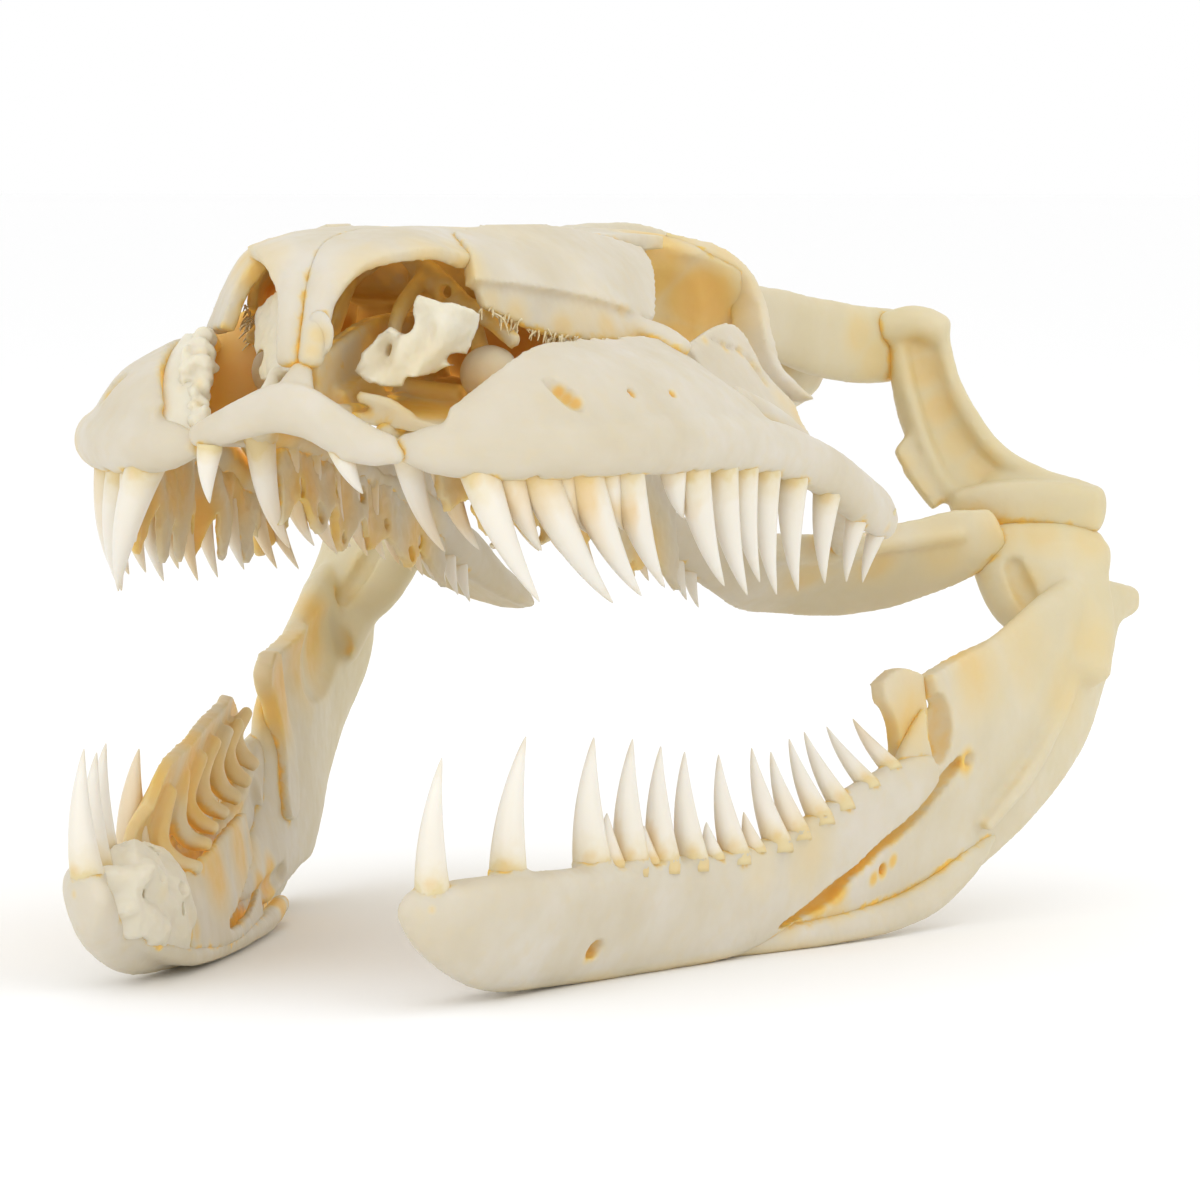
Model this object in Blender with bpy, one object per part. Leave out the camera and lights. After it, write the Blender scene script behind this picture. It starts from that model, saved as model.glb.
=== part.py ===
# Python skull, still, life size, in metres: faces -Y, +Z up, resting on its mandibles at z = 0.
# Each bone is swept or plated in millimetres on the animal's left side (+X), seated against its
# neighbours with a fine gap, mirrored to the right, and given its teeth last.
import math

import bmesh
import bpy
import numpy as np
from mathutils import Matrix, Vector

MM = 0.001
SEAT_GAP = 0.34  # mm of clear space between one bone and the next
VOXEL = 0.55  # mm, the grain at which overlapping forms of one bone are blended
MIDLINE_GAP = 0.17  # mm from the midline to a paired bone's inner face
MIDDLE = 28.88  # mm, the y of the middle of the skull's length in the tables below

BONE_COLOUR = (0.80, 0.74, 0.60, 1.0)
BONE_ROUGHNESS = 0.55


def clear_scene():
    for obj in list(bpy.data.objects):
        bpy.data.objects.remove(obj, do_unlink=True)


def new_object(name, points, faces):
    """A mesh object from points in millimetres, its faces turned outwards."""
    mesh = bpy.data.meshes.new(name)
    mesh.from_pydata([tuple(p * MM) for p in np.asarray(points, float)], [], faces)
    shape = bmesh.new()
    shape.from_mesh(mesh)
    bmesh.ops.recalc_face_normals(shape, faces=shape.faces)
    shape.to_mesh(mesh)
    shape.free()
    obj = bpy.data.objects.new(name, mesh)
    bpy.context.scene.collection.objects.link(obj)
    return obj


def smooth_rows(rows, steps):
    """Catmull-Rom curve through the rows, each column on its own."""
    rows = np.array(rows, float)
    ends = np.vstack([2 * rows[0] - rows[1], rows, 2 * rows[-1] - rows[-2]])
    out = []
    for i in range(1, len(ends) - 2):
        a, b, c, d = ends[i - 1 : i + 3]
        for t in np.arange(steps) / steps:
            linear = (c - a) * t
            square = (2 * a - 5 * b + 4 * c - d) * t**2
            cube = (3 * b - a - 3 * c + d) * t**3
            out.append(b + 0.5 * (linear + square + cube))
    out.append(rows[-1])
    return np.array(out)


def sweep(stations, up=(0, 0, 1), sides=14, steps=4, box=2.0):
    """A bar through stations (x, y, z, half thickness, half height, roll in degrees).
    The height lies along `up`, rolled outwards; box above 2 squares the section."""
    rows = smooth_rows([tuple(s) + (0,) * (6 - len(s)) for s in stations], steps)
    centres = rows[:, :3]
    along = np.gradient(centres, axis=0)
    along /= np.linalg.norm(along, axis=1)[:, None]
    points = []
    angles = np.arange(sides) * 2 * math.pi / sides
    for centre, way, row in zip(centres, along, rows):
        side = np.cross(way, up)
        side /= np.linalg.norm(side)
        high = np.cross(side, way)
        turn = math.radians(row[5])
        side, high = (
            side * math.cos(turn) - high * math.sin(turn),
            high * math.cos(turn) + side * math.sin(turn),
        )
        wide = np.sign(np.cos(angles)) * np.abs(np.cos(angles)) ** (2 / box)
        tall = np.sign(np.sin(angles)) * np.abs(np.sin(angles)) ** (2 / box)
        half_wide, half_tall = max(row[3], 0.25), max(row[4], 0.25)
        points.extend(
            centre + side * half_wide * w + high * half_tall * t for w, t in zip(wide, tall)
        )
    count = len(centres)
    faces = [
        (i * sides + j, i * sides + (j + 1) % sides, (i + 1) * sides + (j + 1) % sides, (i + 1) * sides + j)
        for i in range(count - 1)
        for j in range(sides)
    ]
    for ring, way in ((0, -along[0]), (count - 1, along[-1])):
        reach = 0.5 * min(max(rows[ring, 3], 0.25), max(rows[ring, 4], 0.25))
        points.append(centres[ring] + way * reach)
        tip = len(points) - 1
        faces.extend((ring * sides + j, ring * sides + (j + 1) % sides, tip) for j in range(sides))
    return new_object("sweep", points, faces)


def plate(rows, thickness, steps=4):
    """A curved plate through a grid of points, half its thickness on each side."""
    grid = np.array([smooth_rows(row, steps) for row in rows])
    grid = np.array([smooth_rows(grid[:, j], steps) for j in range(grid.shape[1])]).transpose(1, 0, 2)
    tall, wide = grid.shape[:2]
    across = np.cross(np.gradient(grid, axis=0), np.gradient(grid, axis=1))
    across /= np.linalg.norm(across, axis=2)[..., None]
    faces_apart = across * thickness / 2
    points = np.concatenate([(grid + faces_apart).reshape(-1, 3), (grid - faces_apart).reshape(-1, 3)])
    size = tall * wide
    faces = []
    for i in range(tall - 1):
        for j in range(wide - 1):
            quad = (i * wide + j, i * wide + j + 1, (i + 1) * wide + j + 1, (i + 1) * wide + j)
            faces.append(quad)
            faces.append(tuple(size + k for k in reversed(quad)))
    rim = [j for j in range(wide)]
    rim += [i * wide + wide - 1 for i in range(1, tall)]
    rim += [(tall - 1) * wide + j for j in range(wide - 2, -1, -1)]
    rim += [i * wide for i in range(tall - 2, 0, -1)]
    for a, b in zip(rim, rim[1:] + rim[:1]):
        faces.append((a, b, size + b, size + a))
    return new_object("plate", points, faces)


def ball(centre, radii, turns=10):
    """A closed ellipsoid."""
    x, y, z = centre
    reach = radii[1]
    rows = [
        (x, y + reach * math.sin(a), z, radii[0] * math.cos(a), radii[2] * math.cos(a))
        for a in np.linspace(-1.45, 1.45, turns)
    ]
    return sweep(rows, steps=1)


def apply_modifiers(obj):
    graph = bpy.context.evaluated_depsgraph_get()
    mesh = bpy.data.meshes.new_from_object(obj.evaluated_get(graph))
    obj.modifiers.clear()
    obj.data = mesh


def largest_part(obj):
    """Keeps only the piece with the most volume and faces it outwards."""
    shape = bmesh.new()
    shape.from_mesh(obj.data)
    shape.verts.ensure_lookup_table()
    left, parts = set(shape.verts), []
    while left:
        seed = left.pop()
        group, queue = {seed}, [seed]
        while queue:
            for edge in queue.pop().link_edges:
                for vert in edge.verts:
                    if vert in left:
                        left.discard(vert)
                        group.add(vert)
                        queue.append(vert)
        parts.append(group)
    keep = max(parts, key=len)
    loose = [v for group in parts if group is not keep for v in group]
    bmesh.ops.delete(shape, geom=loose, context="VERTS")
    bmesh.ops.recalc_face_normals(shape, faces=shape.faces)
    if shape.calc_volume(signed=True) < 0:
        bmesh.ops.reverse_faces(shape, faces=shape.faces)
    shape.to_mesh(obj.data)
    shape.free()


def join(objects, name):
    shape = bmesh.new()
    for obj in objects:
        shape.from_mesh(obj.data)
    mesh = bpy.data.meshes.new(name)
    shape.to_mesh(mesh)
    shape.free()
    for obj in objects:
        bpy.data.objects.remove(obj, do_unlink=True)
    joined = bpy.data.objects.new(name, mesh)
    bpy.context.scene.collection.objects.link(joined)
    return joined


def blend(name, forms, triangles, voxel=VOXEL, rounds=3):
    """One bone: its forms run together, softened, and brought down to so many triangles."""
    obj = join(forms, name)
    grain = obj.modifiers.new("Remesh", "REMESH")
    grain.mode = "VOXEL"
    grain.voxel_size = voxel * MM
    soft = obj.modifiers.new("Smooth", "SMOOTH")
    soft.factor = 0.5
    soft.iterations = rounds
    apply_modifiers(obj)
    largest_part(obj)
    count = sum(len(p.vertices) - 2 for p in obj.data.polygons)
    fewer = obj.modifiers.new("Decimate", "DECIMATE")
    fewer.ratio = min(1.0, triangles / count)
    apply_modifiers(obj)
    largest_part(obj)
    return obj


def boolean(obj, cutters, operation, solver="EXACT"):
    """Applies one Boolean with all the cutters and removes them."""
    group = bpy.data.collections.new("cutters")
    for cutter in cutters:
        group.objects.link(cutter)
    step = obj.modifiers.new("Boolean", "BOOLEAN")
    step.operation = operation
    step.solver = solver
    step.operand_type = "COLLECTION"
    step.collection = group
    apply_modifiers(obj)
    for cutter in cutters:
        bpy.data.objects.remove(cutter, do_unlink=True)
    bpy.data.collections.remove(group)
    largest_part(obj)


def copy_of(obj, grow=0.0):
    """A copy, its surface moved outwards by grow millimetres."""
    twin = bpy.data.objects.new(obj.name + "_copy", obj.data.copy())
    bpy.context.scene.collection.objects.link(twin)
    if grow:
        normals = [v.normal.copy() for v in twin.data.vertices]
        for vert, normal in zip(twin.data.vertices, normals):
            vert.co += normal * grow * MM
    return twin


def seat(obj, *neighbours):
    """Cuts the seat of each neighbour into obj, a fine gap away."""
    for neighbour in neighbours:
        boolean(obj, [copy_of(neighbour, SEAT_GAP)], "DIFFERENCE", "MANIFOLD")


def box_between(low, high):
    corners = [(x, y, z) for x in (low[0], high[0]) for y in (low[1], high[1]) for z in (low[2], high[2])]
    faces = [(0, 1, 3, 2), (4, 6, 7, 5), (0, 4, 5, 1), (2, 3, 7, 6), (0, 2, 6, 4), (1, 5, 7, 3)]
    return new_object("box", corners, faces)


def mirrored(obj):
    """The right-hand bone of a left-hand one."""
    name = obj.name.replace("_left", "_right")
    twin = bpy.data.objects.new(name, obj.data.copy())
    twin.data.transform(Matrix.Scale(-1, 4, Vector((1, 0, 0))))
    twin.data.flip_normals()
    bpy.context.scene.collection.objects.link(twin)
    return twin


# Girth of a tooth along its length; the first ring is the root sunk in the bone.
FANG = ((-0.14, 0.95), (0.1, 1.0), (0.42, 0.76), (0.76, 0.40))
PEG = ((-0.14, 0.95), (0.32, 0.85), (0.7, 0.45))


def tooth(base, tip, radius, bow, shares=FANG, sides=5):
    """A tapered fang from base to tip, bowed by so many millimetres towards -Y."""
    base, tip = np.array(base, float), np.array(tip, float)
    way = (tip - base) / np.linalg.norm(tip - base)
    bend = np.array((0.0, -1.0, 0.0))
    bend -= way * bend.dot(way)
    bend /= np.linalg.norm(bend)
    side = np.cross(way, bend)
    points = []
    for share, girth in shares:
        centre = base + (tip - base) * share + bend * bow * 4 * max(share, 0) * (1 - share)
        for j in range(sides):
            a = 2 * math.pi * (j + 0.5) / sides
            points.append(centre + (side * math.cos(a) * 0.85 + bend * math.sin(a)) * radius * girth)
    rings = len(shares)
    faces = [
        (i * sides + j, i * sides + (j + 1) % sides, (i + 1) * sides + (j + 1) % sides, (i + 1) * sides + j)
        for i in range(rings - 1)
        for j in range(sides)
    ]
    faces.append(tuple(range(sides)))
    points.append(tip)
    last = (rings - 1) * sides
    faces.extend((last + j, last + (j + 1) % sides, len(points) - 1) for j in range(sides))
    return new_object("tooth", points, faces)


def grow_teeth(bone, row, places, shares=FANG, side=1):
    """Teeth rooted in bone along row, a curve of (x, y, z, length, back, out, radius).
    places gives the y where each stands, its share of the row's length there, and its lean inwards."""
    curve = smooth_rows(row, 12)
    teeth = []
    for at, share, lean in places:
        x, _, z, length, back, out, radius = (np.interp(at, curve[:, 1], column) for column in curve.T)
        length *= share
        reach = abs(length)
        base = (side * x, at, z)
        tip = (side * (x + (out - lean) * reach), at + back * reach, z - length)
        teeth.append(tooth(base, tip, radius * (0.55 + 0.45 * share), reach * 0.09, shares))
    boolean(bone, teeth, "UNION")


def finish(obj):
    """Smooth shading and the bone's own material."""
    material = bpy.data.materials.new(obj.name + "_bone")
    material.use_nodes = True
    shader = material.node_tree.nodes["Principled BSDF"]
    shader.inputs["Base Color"].default_value = BONE_COLOUR
    shader.inputs["Roughness"].default_value = BONE_ROUGHNESS
    shader.inputs["Metallic"].default_value = 0.0
    obj.data.materials.clear()
    obj.data.materials.append(material)
    for polygon in obj.data.polygons:
        polygon.use_smooth = True


clear_scene()

# Snout: a toothed cross bar with a short process up to the nasals and two back to the palate.
premaxilla = blend(
    "premaxilla",
    [
        sweep([(-8.3, -18.6, 43.4, 0.9, 1.2), (-6, -19.2, 44.2, 1.2, 1.9), (-3, -19.6, 45.3, 1.3, 1.9),
               (0, -19.7, 45.9, 1.4, 1.9), (3, -19.6, 45.3, 1.3, 1.9), (6, -19.2, 44.2, 1.2, 1.9),
               (8.3, -18.6, 43.2, 0.9, 1.2)]),
        sweep([(0, -19.5, 45.8, 1.6, 1.2), (0, -18.2, 47.6, 1.3, 0.9), (0, -17.2, 49.0, 0.9, 0.6)],
              up=(0, 1, 0)),
        sweep([(1.6, -18.6, 45.2, 1.1, 0.9), (2.2, -13, 45.4, 0.9, 0.7), (2.4, -8, 45.6, 0.6, 0.5)]),
        sweep([(-1.6, -18.6, 45.2, 1.1, 0.9), (-2.2, -13, 45.4, 0.9, 0.7), (-2.4, -8, 45.6, 0.6, 0.5)]),
    ],
    260,
)

nasal = blend(
    "nasal_left",
    [
        plate([[(-0.6, -15.0, 55.2), (-0.6, -13.4, 57.6), (-0.6, -8, 58.8), (-0.6, 0, 59.0), (-0.6, 9, 58.8)],
               [(1.6, -14.9, 55.0), (2.9, -13.2, 57.2), (4.0, -9, 58.5), (3.8, -1, 59.0), (2.2, 7.5, 58.9)],
               [(2.4, -14.8, 54.4), (4.8, -13.2, 56.2), (7.9, -8.4, 56.2), (7.4, -2.5, 57.9),
                (3.6, 6, 58.8)]],
              1.3),
        sweep([(0.55, -17.2, 49.8, 1.0, 0.9), (0.55, -16.0, 53.0, 0.95, 0.9), (0.55, -14.2, 57.0, 1.1, 1.1)],
              up=(0, 1, 0)),
        plate([[(7.2, -8.2, 57), (7.4, -2.5, 58)], [(8.8, -6.6, 54.8), (9.0, -3.5, 55.8)]], 1.2),
    ],
    220,
)

prefrontal = blend(
    "prefrontal_left",
    [
        plate([[(5.8, -1.0, 58.7), (6.8, 5, 59.3), (8.8, 14, 59.1), (11.6, 24.0, 57.4)],
               [(8.8, -3.8, 56.8), (10.6, 4, 57.0), (12.6, 12, 56.6), (13.7, 22.0, 55.2)],
               [(9.8, -5.2, 53.8), (14.0, 1.5, 51.9), (16.4, 9, 51.6), (16.2, 17.0, 51.8)]], 1.5),
        sweep([(16, 13, 52.2, 1.6, 1.2), (18.6, 12.4, 51.0, 1.5, 1.0), (20.4, 12.4, 50.2, 1.0, 0.8)]),
        plate([[(11.8, 21.2, 57.0), (13.4, 19.0, 54.4), (15.2, 15.4, 52.0)],
               [(8.0, 18.0, 57.2), (9.0, 16.5, 54.4), (12.2, 13.6, 51.6)]], 1.5),
    ],
    240,
)

frontal = blend(
    "frontal_left",
    [
        sweep([(2.6, 4, 56.6, 4.2, 2.3), (4.0, 11, 55.8, 5.0, 3.4), (4.4, 20, 55.5, 5.4, 3.8),
               (4.6, 30, 55.4, 5.6, 4.2)], box=3.2),
        plate([[(-0.8, 6, 58.6), (-0.8, 18, 58.9), (-0.8, 30, 59.2)],
               [(8.4, 10, 58.5), (10.4, 19, 58.5), (11.2, 30, 58.2)]], 1.3),
    ],
    200,
)

# The parietal roofs the brain. No opening shows its inside, so it is solid.
parietal = blend(
    "parietal",
    [
        sweep([(0, 29, 54.0, 10.0, 5.0), (0, 34, 53.6, 10.6, 5.7), (0, 42, 53.2, 10.2, 6.0),
               (0, 52, 52.6, 9.2, 6.0), (0, 60, 51.8, 8.4, 5.4), (0, 67, 51.2, 6.2, 4.4)], box=2.4, sides=20),
        sweep([(0, 32, 58.4, 1.6, 1.0), (0, 42, 58.6, 1.2, 1.2), (0, 54, 58.2, 0.9, 1.5),
               (0, 66, 56.6, 0.8, 1.4), (0, 70, 55.6, 0.6, 0.9)]),
        *(sweep([(side * 6, 33, 58.0, 1.2, 2.4), (side * 10, 32.5, 57.8, 0.9, 2.2),
                 (side * 12.6, 32.8, 57.2, 0.7, 1.6)], up=(0, 1, 0)) for side in (-1, 1)),
    ],
    400,
)
braincase = blend(
    "braincase_rear",
    [
        sweep([(0, 56, 47.6, 9.0, 4.2), (0, 61, 47.8, 11.6, 5.2), (0, 68, 48.0, 12.2, 6.2),
               (0, 74, 48.0, 10.0, 6.2), (0, 79.5, 47.6, 6.4, 5.2)], box=2.4, sides=20),
        sweep([(0, 66, 44.4, 5.0, 2.4), (0, 76, 44.0, 4.2, 2.4), (0, 81.5, 43.6, 3.2, 2.2)]),
        ball((0, 82.4, 43.6), (2.9, 2.4, 2.1)),
        sweep([(0, 66, 54.8, 1.0, 1.6), (0, 74, 53.8, 0.9, 1.8), (0, 79.5, 52.4, 0.8, 1.6)]),
        *(sweep([(side * 9.5, 59, 49.2, 2.0, 1.8), (side * 11.8, 65, 48.8, 2.4, 2.4),
                 (side * 12.8, 71, 48.6, 2.6, 2.2), (side * 12.6, 76, 48.2, 1.6, 1.4)]) for side in (-1, 1)),
    ],
    360,
)
# The foramen magnum and the hollow in front of it.
foramen = sweep(
    [(0, 64, 48.8, 3.4, 2.4), (0, 70, 48.8, 4.8, 3.2), (0, 78, 48.8, 3.4, 2.9), (0, 86, 48.8, 3.6, 3.2)],
    sides=12,
    steps=2,
)
boolean(braincase, [foramen], "DIFFERENCE")

parabasisphenoid = blend(
    "parabasisphenoid",
    [
        sweep([(0, 8, 46.6, 0.7, 0.8), (0, 20, 46.6, 1.3, 1.2), (0, 34, 46.2, 2.4, 1.5),
               (0, 46, 45.2, 4.6, 1.7),
               (0, 56, 43.2, 5.6, 1.6), (0, 66, 41.8, 4.2, 1.3)]),
        sweep([(0, 34, 45.0, 0.8, 1.2), (0, 48, 43.0, 0.8, 1.4), (0, 62, 41.2, 0.7, 1.1)]),
        *(sweep([(side * 3, 47, 43.6, 1.5, 1.3), (side * 7.2, 48.5, 41.2, 1.3, 1.4),
                 (side * 9.2, 49.5, 37.8, 1.1, 1.4)], up=(0, 1, 0)) for side in (-1, 1)),
    ],
    260,
)

postorbital = blend(
    "postorbital_left",
    [
        sweep([(10.2, 33, 58.6, 0.7, 2.6), (12.6, 35, 57.8, 0.75, 3.6), (15.6, 37.2, 55.2, 0.75, 3.0),
               (17.6, 37.4, 51.8, 0.8, 2.2), (19.4, 35.8, 48.6, 0.85, 1.7), (21.6, 35.0, 46.4, 0.8, 1.3),
               (23.2, 34.8, 45.2, 0.6, 0.8)], up=(0, 1, 0)),
    ],
    170,
)

supratemporal = blend(
    "supratemporal_left",
    [
        sweep([(10.6, 47, 52.6, 0.7, 1.5), (11.9, 53, 51.4, 1.2, 2.9), (13.7, 60, 49.9, 1.3, 3.3),
               (15.5, 67, 49.0, 1.3, 3.2), (17.0, 74, 48.8, 1.3, 3.0),
               (18.2, 79.2, 48.9, 1.1, 2.4)], box=2.6),
    ],
    150,
)

quadrate = blend(
    "quadrate_left",
    [
        plate([[(17.7, 69.6, 50.6), (17.8, 69.5, 45.2), (18.8, 69.0, 40.4), (21.2, 69.0, 37.2),
                (22.8, 68.9, 34.4)],
               [(20.2, 70.8, 51.0), (20.8, 71.3, 45.2), (22.6, 71.4, 40.6), (26.2, 71.6, 37.0),
                (28.8, 71.0, 34.6)],
               [(22.2, 71.3, 50.6), (23.5, 71.8, 45.4), (26.8, 72.2, 40.4), (31.4, 72.8, 37.4),
                (35.2, 73.4, 35.4)]],
              2.0),
        sweep([(18.2, 69.6, 50.0, 1.4, 1.3), (20.2, 70.5, 50.4, 1.8, 1.6), (22.2, 71.2, 49.8, 1.4, 1.4)]),
        sweep([(24.2, 67.4, 34.0, 1.5, 1.3), (28, 68.6, 34.2, 2.2, 1.7), (32, 70.2, 34.2, 2.2, 1.8),
               (36.0, 71.8, 34.4, 1.6, 1.4)]),
        sweep([(22.8, 67.8, 38.4, 1.1, 1.6), (21.2, 67.2, 36.8, 1.3, 1.8), (23.2, 67.6, 34.8, 1.2, 1.4)],
              up=(0.93, 0.37, 0)),
    ],
    290,
)

maxilla = blend(
    "maxilla_left",
    [
        sweep([(8.7, -17.7, 42.8, 0.8, 1.1), (11.5, -17.0, 42.7, 1.7, 2.0), (15.4, -14.9, 42.6, 2.2, 2.6),
               (19.2, -11.4, 42.6, 2.4, 2.6), (22.2, -7.0, 42.7, 2.4, 2.6), (24.2, -0.5, 42.7, 2.2, 2.6),
               (25.4, 7, 42.5, 2.1, 2.6), (26.4, 16, 41.9, 2.0, 2.4), (27.4, 26, 39.6, 1.8, 2.0),
               (28.1, 34, 37.0, 1.5, 1.7), (28.5, 39.5, 35.6, 1.2, 1.2), (28.6, 42, 35.0, 0.8, 0.8)]),
        plate([[(11.2, -17.6, 43.4), (15.6, -15.4, 43.4), (19.8, -11.6, 43.4), (22.8, -6.8, 43.6),
                (24.8, 0, 43.6),
                (25.6, 7, 43.6), (26.2, 14, 43.2)],
               [(12.2, -16.6, 44.6), (15.4, -13.8, 46.2), (18.4, -9.8, 47.2), (20.2, -4.8, 47.8),
                (21.6, 1.8, 47.8),
                (22.8, 8.4, 47.2), (24.8, 14.4, 44.8)],
               [(12.4, -15.4, 45.2), (14.4, -11.6, 48.2), (15.4, -6.8, 50.0), (16.0, -2.2, 50.4),
                (17.2, 4.6, 50.3),
                (18.8, 10.6, 49.6), (23.0, 14.6, 45.6)]], 1.6),
        sweep([(24, 6, 42.4, 2.2, 1.4), (19, 9, 42.4, 2.6, 0.9), (14, 9.5, 42.2, 2.2, 0.8),
               (12, 9.5, 42.0, 1.6, 0.7)]),
    ],
    470,
)

ectopterygoid = blend(
    "ectopterygoid_left",
    [
        plate([[(18.8, 15.0, 49.6), (20.0, 19.5, 49.2), (21.6, 24.0, 46.8)],
               [(23.8, 15.0, 44.6), (24.8, 18.6, 43.6), (25.4, 23, 42.0)]], 1.3),
        sweep([(22.6, 17.5, 45.8, 1.1, 2.2), (24.2, 25, 42.6, 1.2, 1.8), (24.8, 33, 38.6, 1.4, 1.5),
               (23.4, 41, 35.8, 1.5, 1.5), (21.0, 48, 33.8, 1.4, 1.7), (19.2, 53, 32.4, 1.0, 1.4)]),
    ],
    190,
)

pterygoid = blend(
    "pterygoid_left",
    [
        sweep([(9.2, 17, 38.8, 0.9, 0.9), (9.6, 22, 37.8, 1.3, 1.4), (10.2, 30, 35.4, 1.5, 1.8),
               (10.8, 38, 32.6, 1.6, 2.1, 10), (12.0, 46, 30.6, 1.5, 3.2, 32),
               (14.4, 53.5, 29.4, 1.2, 5.6, 52),
               (18.0, 58.6, 29.2, 1.1, 5.4, 45), (22.4, 62.0, 30.1, 1.1, 4.1, 25),
               (26.6, 64.8, 31.0, 1.0, 3.2, 10),
               (29.2, 66.6, 31.4, 0.8, 2.0)]),
    ],
    260,
)

palatine = blend(
    "palatine_left",
    [
        sweep([(5.4, -13.4, 44.0, 0.8, 0.8), (6.2, -10, 43.8, 1.3, 1.3), (7.0, -3, 42.8, 1.5, 1.4),
               (8.0, 5, 41.4, 1.5, 1.5), (8.8, 13, 39.8, 1.3, 1.3), (9.3, 19, 38.4, 0.8, 0.9)]),
        sweep([(7.6, 3, 42.2, 2.0, 1.2), (10.4, 6.5, 42.6, 2.0, 0.9), (12.6, 8.0, 42.2, 1.4, 0.7)]),
        sweep([(7.0, 0, 43.4, 2.4, 0.9), (4.6, 2, 45.8, 2.0, 0.7), (2.2, 4, 47.0, 1.4, 0.6)]),
    ],
    200,
)

vomer = blend(
    "vomer_left",
    [
        sweep([(1.2, -12.5, 46.4, 0.6, 0.7), (1.6, -6, 47.2, 0.9, 1.5), (1.4, 2, 47.8, 0.8, 1.3),
               (1.2, 9, 48.2, 0.5, 0.7)]),
        ball((8.0, 1.0, 47.6), (2.3, 2.3, 2.2)),
        sweep([(1.6, -2, 47.4, 1.6, 0.8), (6.6, 0.4, 47.6, 1.4, 0.9)]),
    ],
    160,
)

septomaxilla = blend(
    "septomaxilla_left",
    [
        plate([[(1.9, -14.8, 48.8), (2.6, -10, 50.2), (3.0, -5, 51.0)],
               [(4.6, -14.2, 48.8), (5.0, -9.6, 50.8), (5.4, -4.8, 51.8)],
               [(6.6, -13.2, 51.4), (7.4, -9.2, 53.0), (7.8, -5.0, 54.0)]], 1.1),
        sweep([(3.2, -14.6, 48.8, 0.9, 0.9), (3.4, -16.6, 47.4, 0.9, 0.8), (3.2, -18.6, 46.2, 0.8, 0.7)]),
    ],
    170,
)

dentary = blend(
    "dentary_left",
    [
        sweep([(12.9, -26.4, 8.4, 0.9, 1.3, 10), (14.4, -25.0, 7.4, 1.8, 2.8, 16),
               (15.8, -21.6, 6.4, 2.0, 4.1, 22), (17.0, -15.8, 5.4, 2.0, 5.2, 25),
               (18.0, -8, 5.0, 2.0, 5.4, 25),
               (19.3, 0, 4.8, 2.0, 5.4, 22), (21.2, 9, 4.6, 1.9, 5.0, 18), (23.4, 18, 4.9, 1.7, 4.8, 14),
               (25.7, 26, 6.9, 1.5, 4.2, 10), (28.1, 33, 10.0, 1.3, 3.6, 6), (30.1, 39, 12.7, 1.1, 2.4, 2),
               (31.0, 42, 13.7, 0.8, 1.2)], box=2.6),
    ],
    360,
)

# The compound bone: a tongue inside the dentary, a tall blade, the jaw joint and a short heel.
compound = blend(
    "compound_left",
    [
        sweep([(21.4, 15, 3.6, 0.7, 1.4, 14), (23.4, 23, 4.0, 1.1, 2.4, 14), (26.0, 32, 5.2, 1.3, 3.7, 12),
               (28.4, 40, 8.2, 1.4, 5.8, 10), (30.2, 46, 11.4, 1.5, 8.8, 8), (32.2, 53, 14.4, 1.6, 9.2, 5),
               (34.0, 60, 17.8, 1.8, 8.6, 2), (35.1, 66, 21.2, 2.1, 7.6), (35.4, 71.6, 24.4, 2.0, 5.6),
               (36.0, 75.6, 25.9, 1.4, 2.4), (36.9, 79.8, 26.2, 0.8, 1.1)], box=2.4),
        plate([[(30.6, 42.4, 21.8), (31.2, 48, 23.0), (32.0, 54, 24.0)],
               [(31.2, 44.4, 17.0), (32.0, 49, 17.4), (33.2, 54, 18)]], 1.9),
        sweep([(31.6, 69.6, 31.6, 2.0, 5.6), (31.8, 69.2, 30.4, 2.8, 6.2), (32.8, 68.4, 28.0, 2.8, 5.8),
               (34.6, 67.4, 24.6, 2.8, 4.6), (35.4, 65, 20.6, 2.4, 4.2)], up=(0.93, 0.37, 0)),
    ],
    430,
)
boolean(compound, [sweep([(27.6, 47, 19.2, 1.0, 1.8), (30.2, 52, 20.2, 1.3, 3.4), (31.8, 58, 21.2, 1.4, 3.8),
                          (32.4, 63, 23.0, 1.2, 2.6)], sides=10, steps=2)], "DIFFERENCE")

coronoid = blend(
    "coronoid_left",
    [
        sweep([(27.0, 39.2, 21.6, 0.6, 1.2), (27.6, 40.6, 20.2, 0.8, 1.9), (28.0, 42.0, 17.2, 0.9, 1.8),
               (27.8, 42.6, 13.4, 0.9, 2.4), (26.8, 41.0, 9.6, 0.8, 3.0),
               (25.8, 39.6, 7.0, 0.6, 1.6)], up=(0, 1, 0)),
    ],
    120,
)

splenial = blend(
    "splenial_left",
    [
        sweep([(14.2, -11, 4.2, 0.5, 0.8, 26), (16.3, 0, 4.4, 0.8, 2.3, 22), (18.5, 10, 4.4, 0.8, 2.6, 18),
               (21.1, 19, 4.7, 0.8, 2.4, 14), (23.1, 26, 5.4, 0.5, 1.4, 10)]),
    ],
    110,
)

angular = blend(
    "angular_left",
    [
        sweep([(21.2, 17, 1.2, 0.9, 1.2), (24.0, 26, 1.1, 1.2, 1.4), (26.6, 34, 1.2, 1.2, 1.5),
               (28.2, 40, 1.4, 1.2, 1.6), (29.4, 46, 1.8, 0.9, 1.4), (30.0, 49, 2.2, 0.6, 0.8)]),
    ],
    120,
)

# The floor takes the last shaving off the mandible, and the paired roof bones stop at the midline.
for bone in (dentary, compound, angular, splenial):
    boolean(bone, [box_between((0, -60, -20), (70, 120, 0))], "DIFFERENCE")
for bone in (nasal, frontal, septomaxilla, vomer, palatine):
    boolean(bone, [box_between((-20, -60, 20), (MIDLINE_GAP, 120, 90))], "DIFFERENCE")

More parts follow.
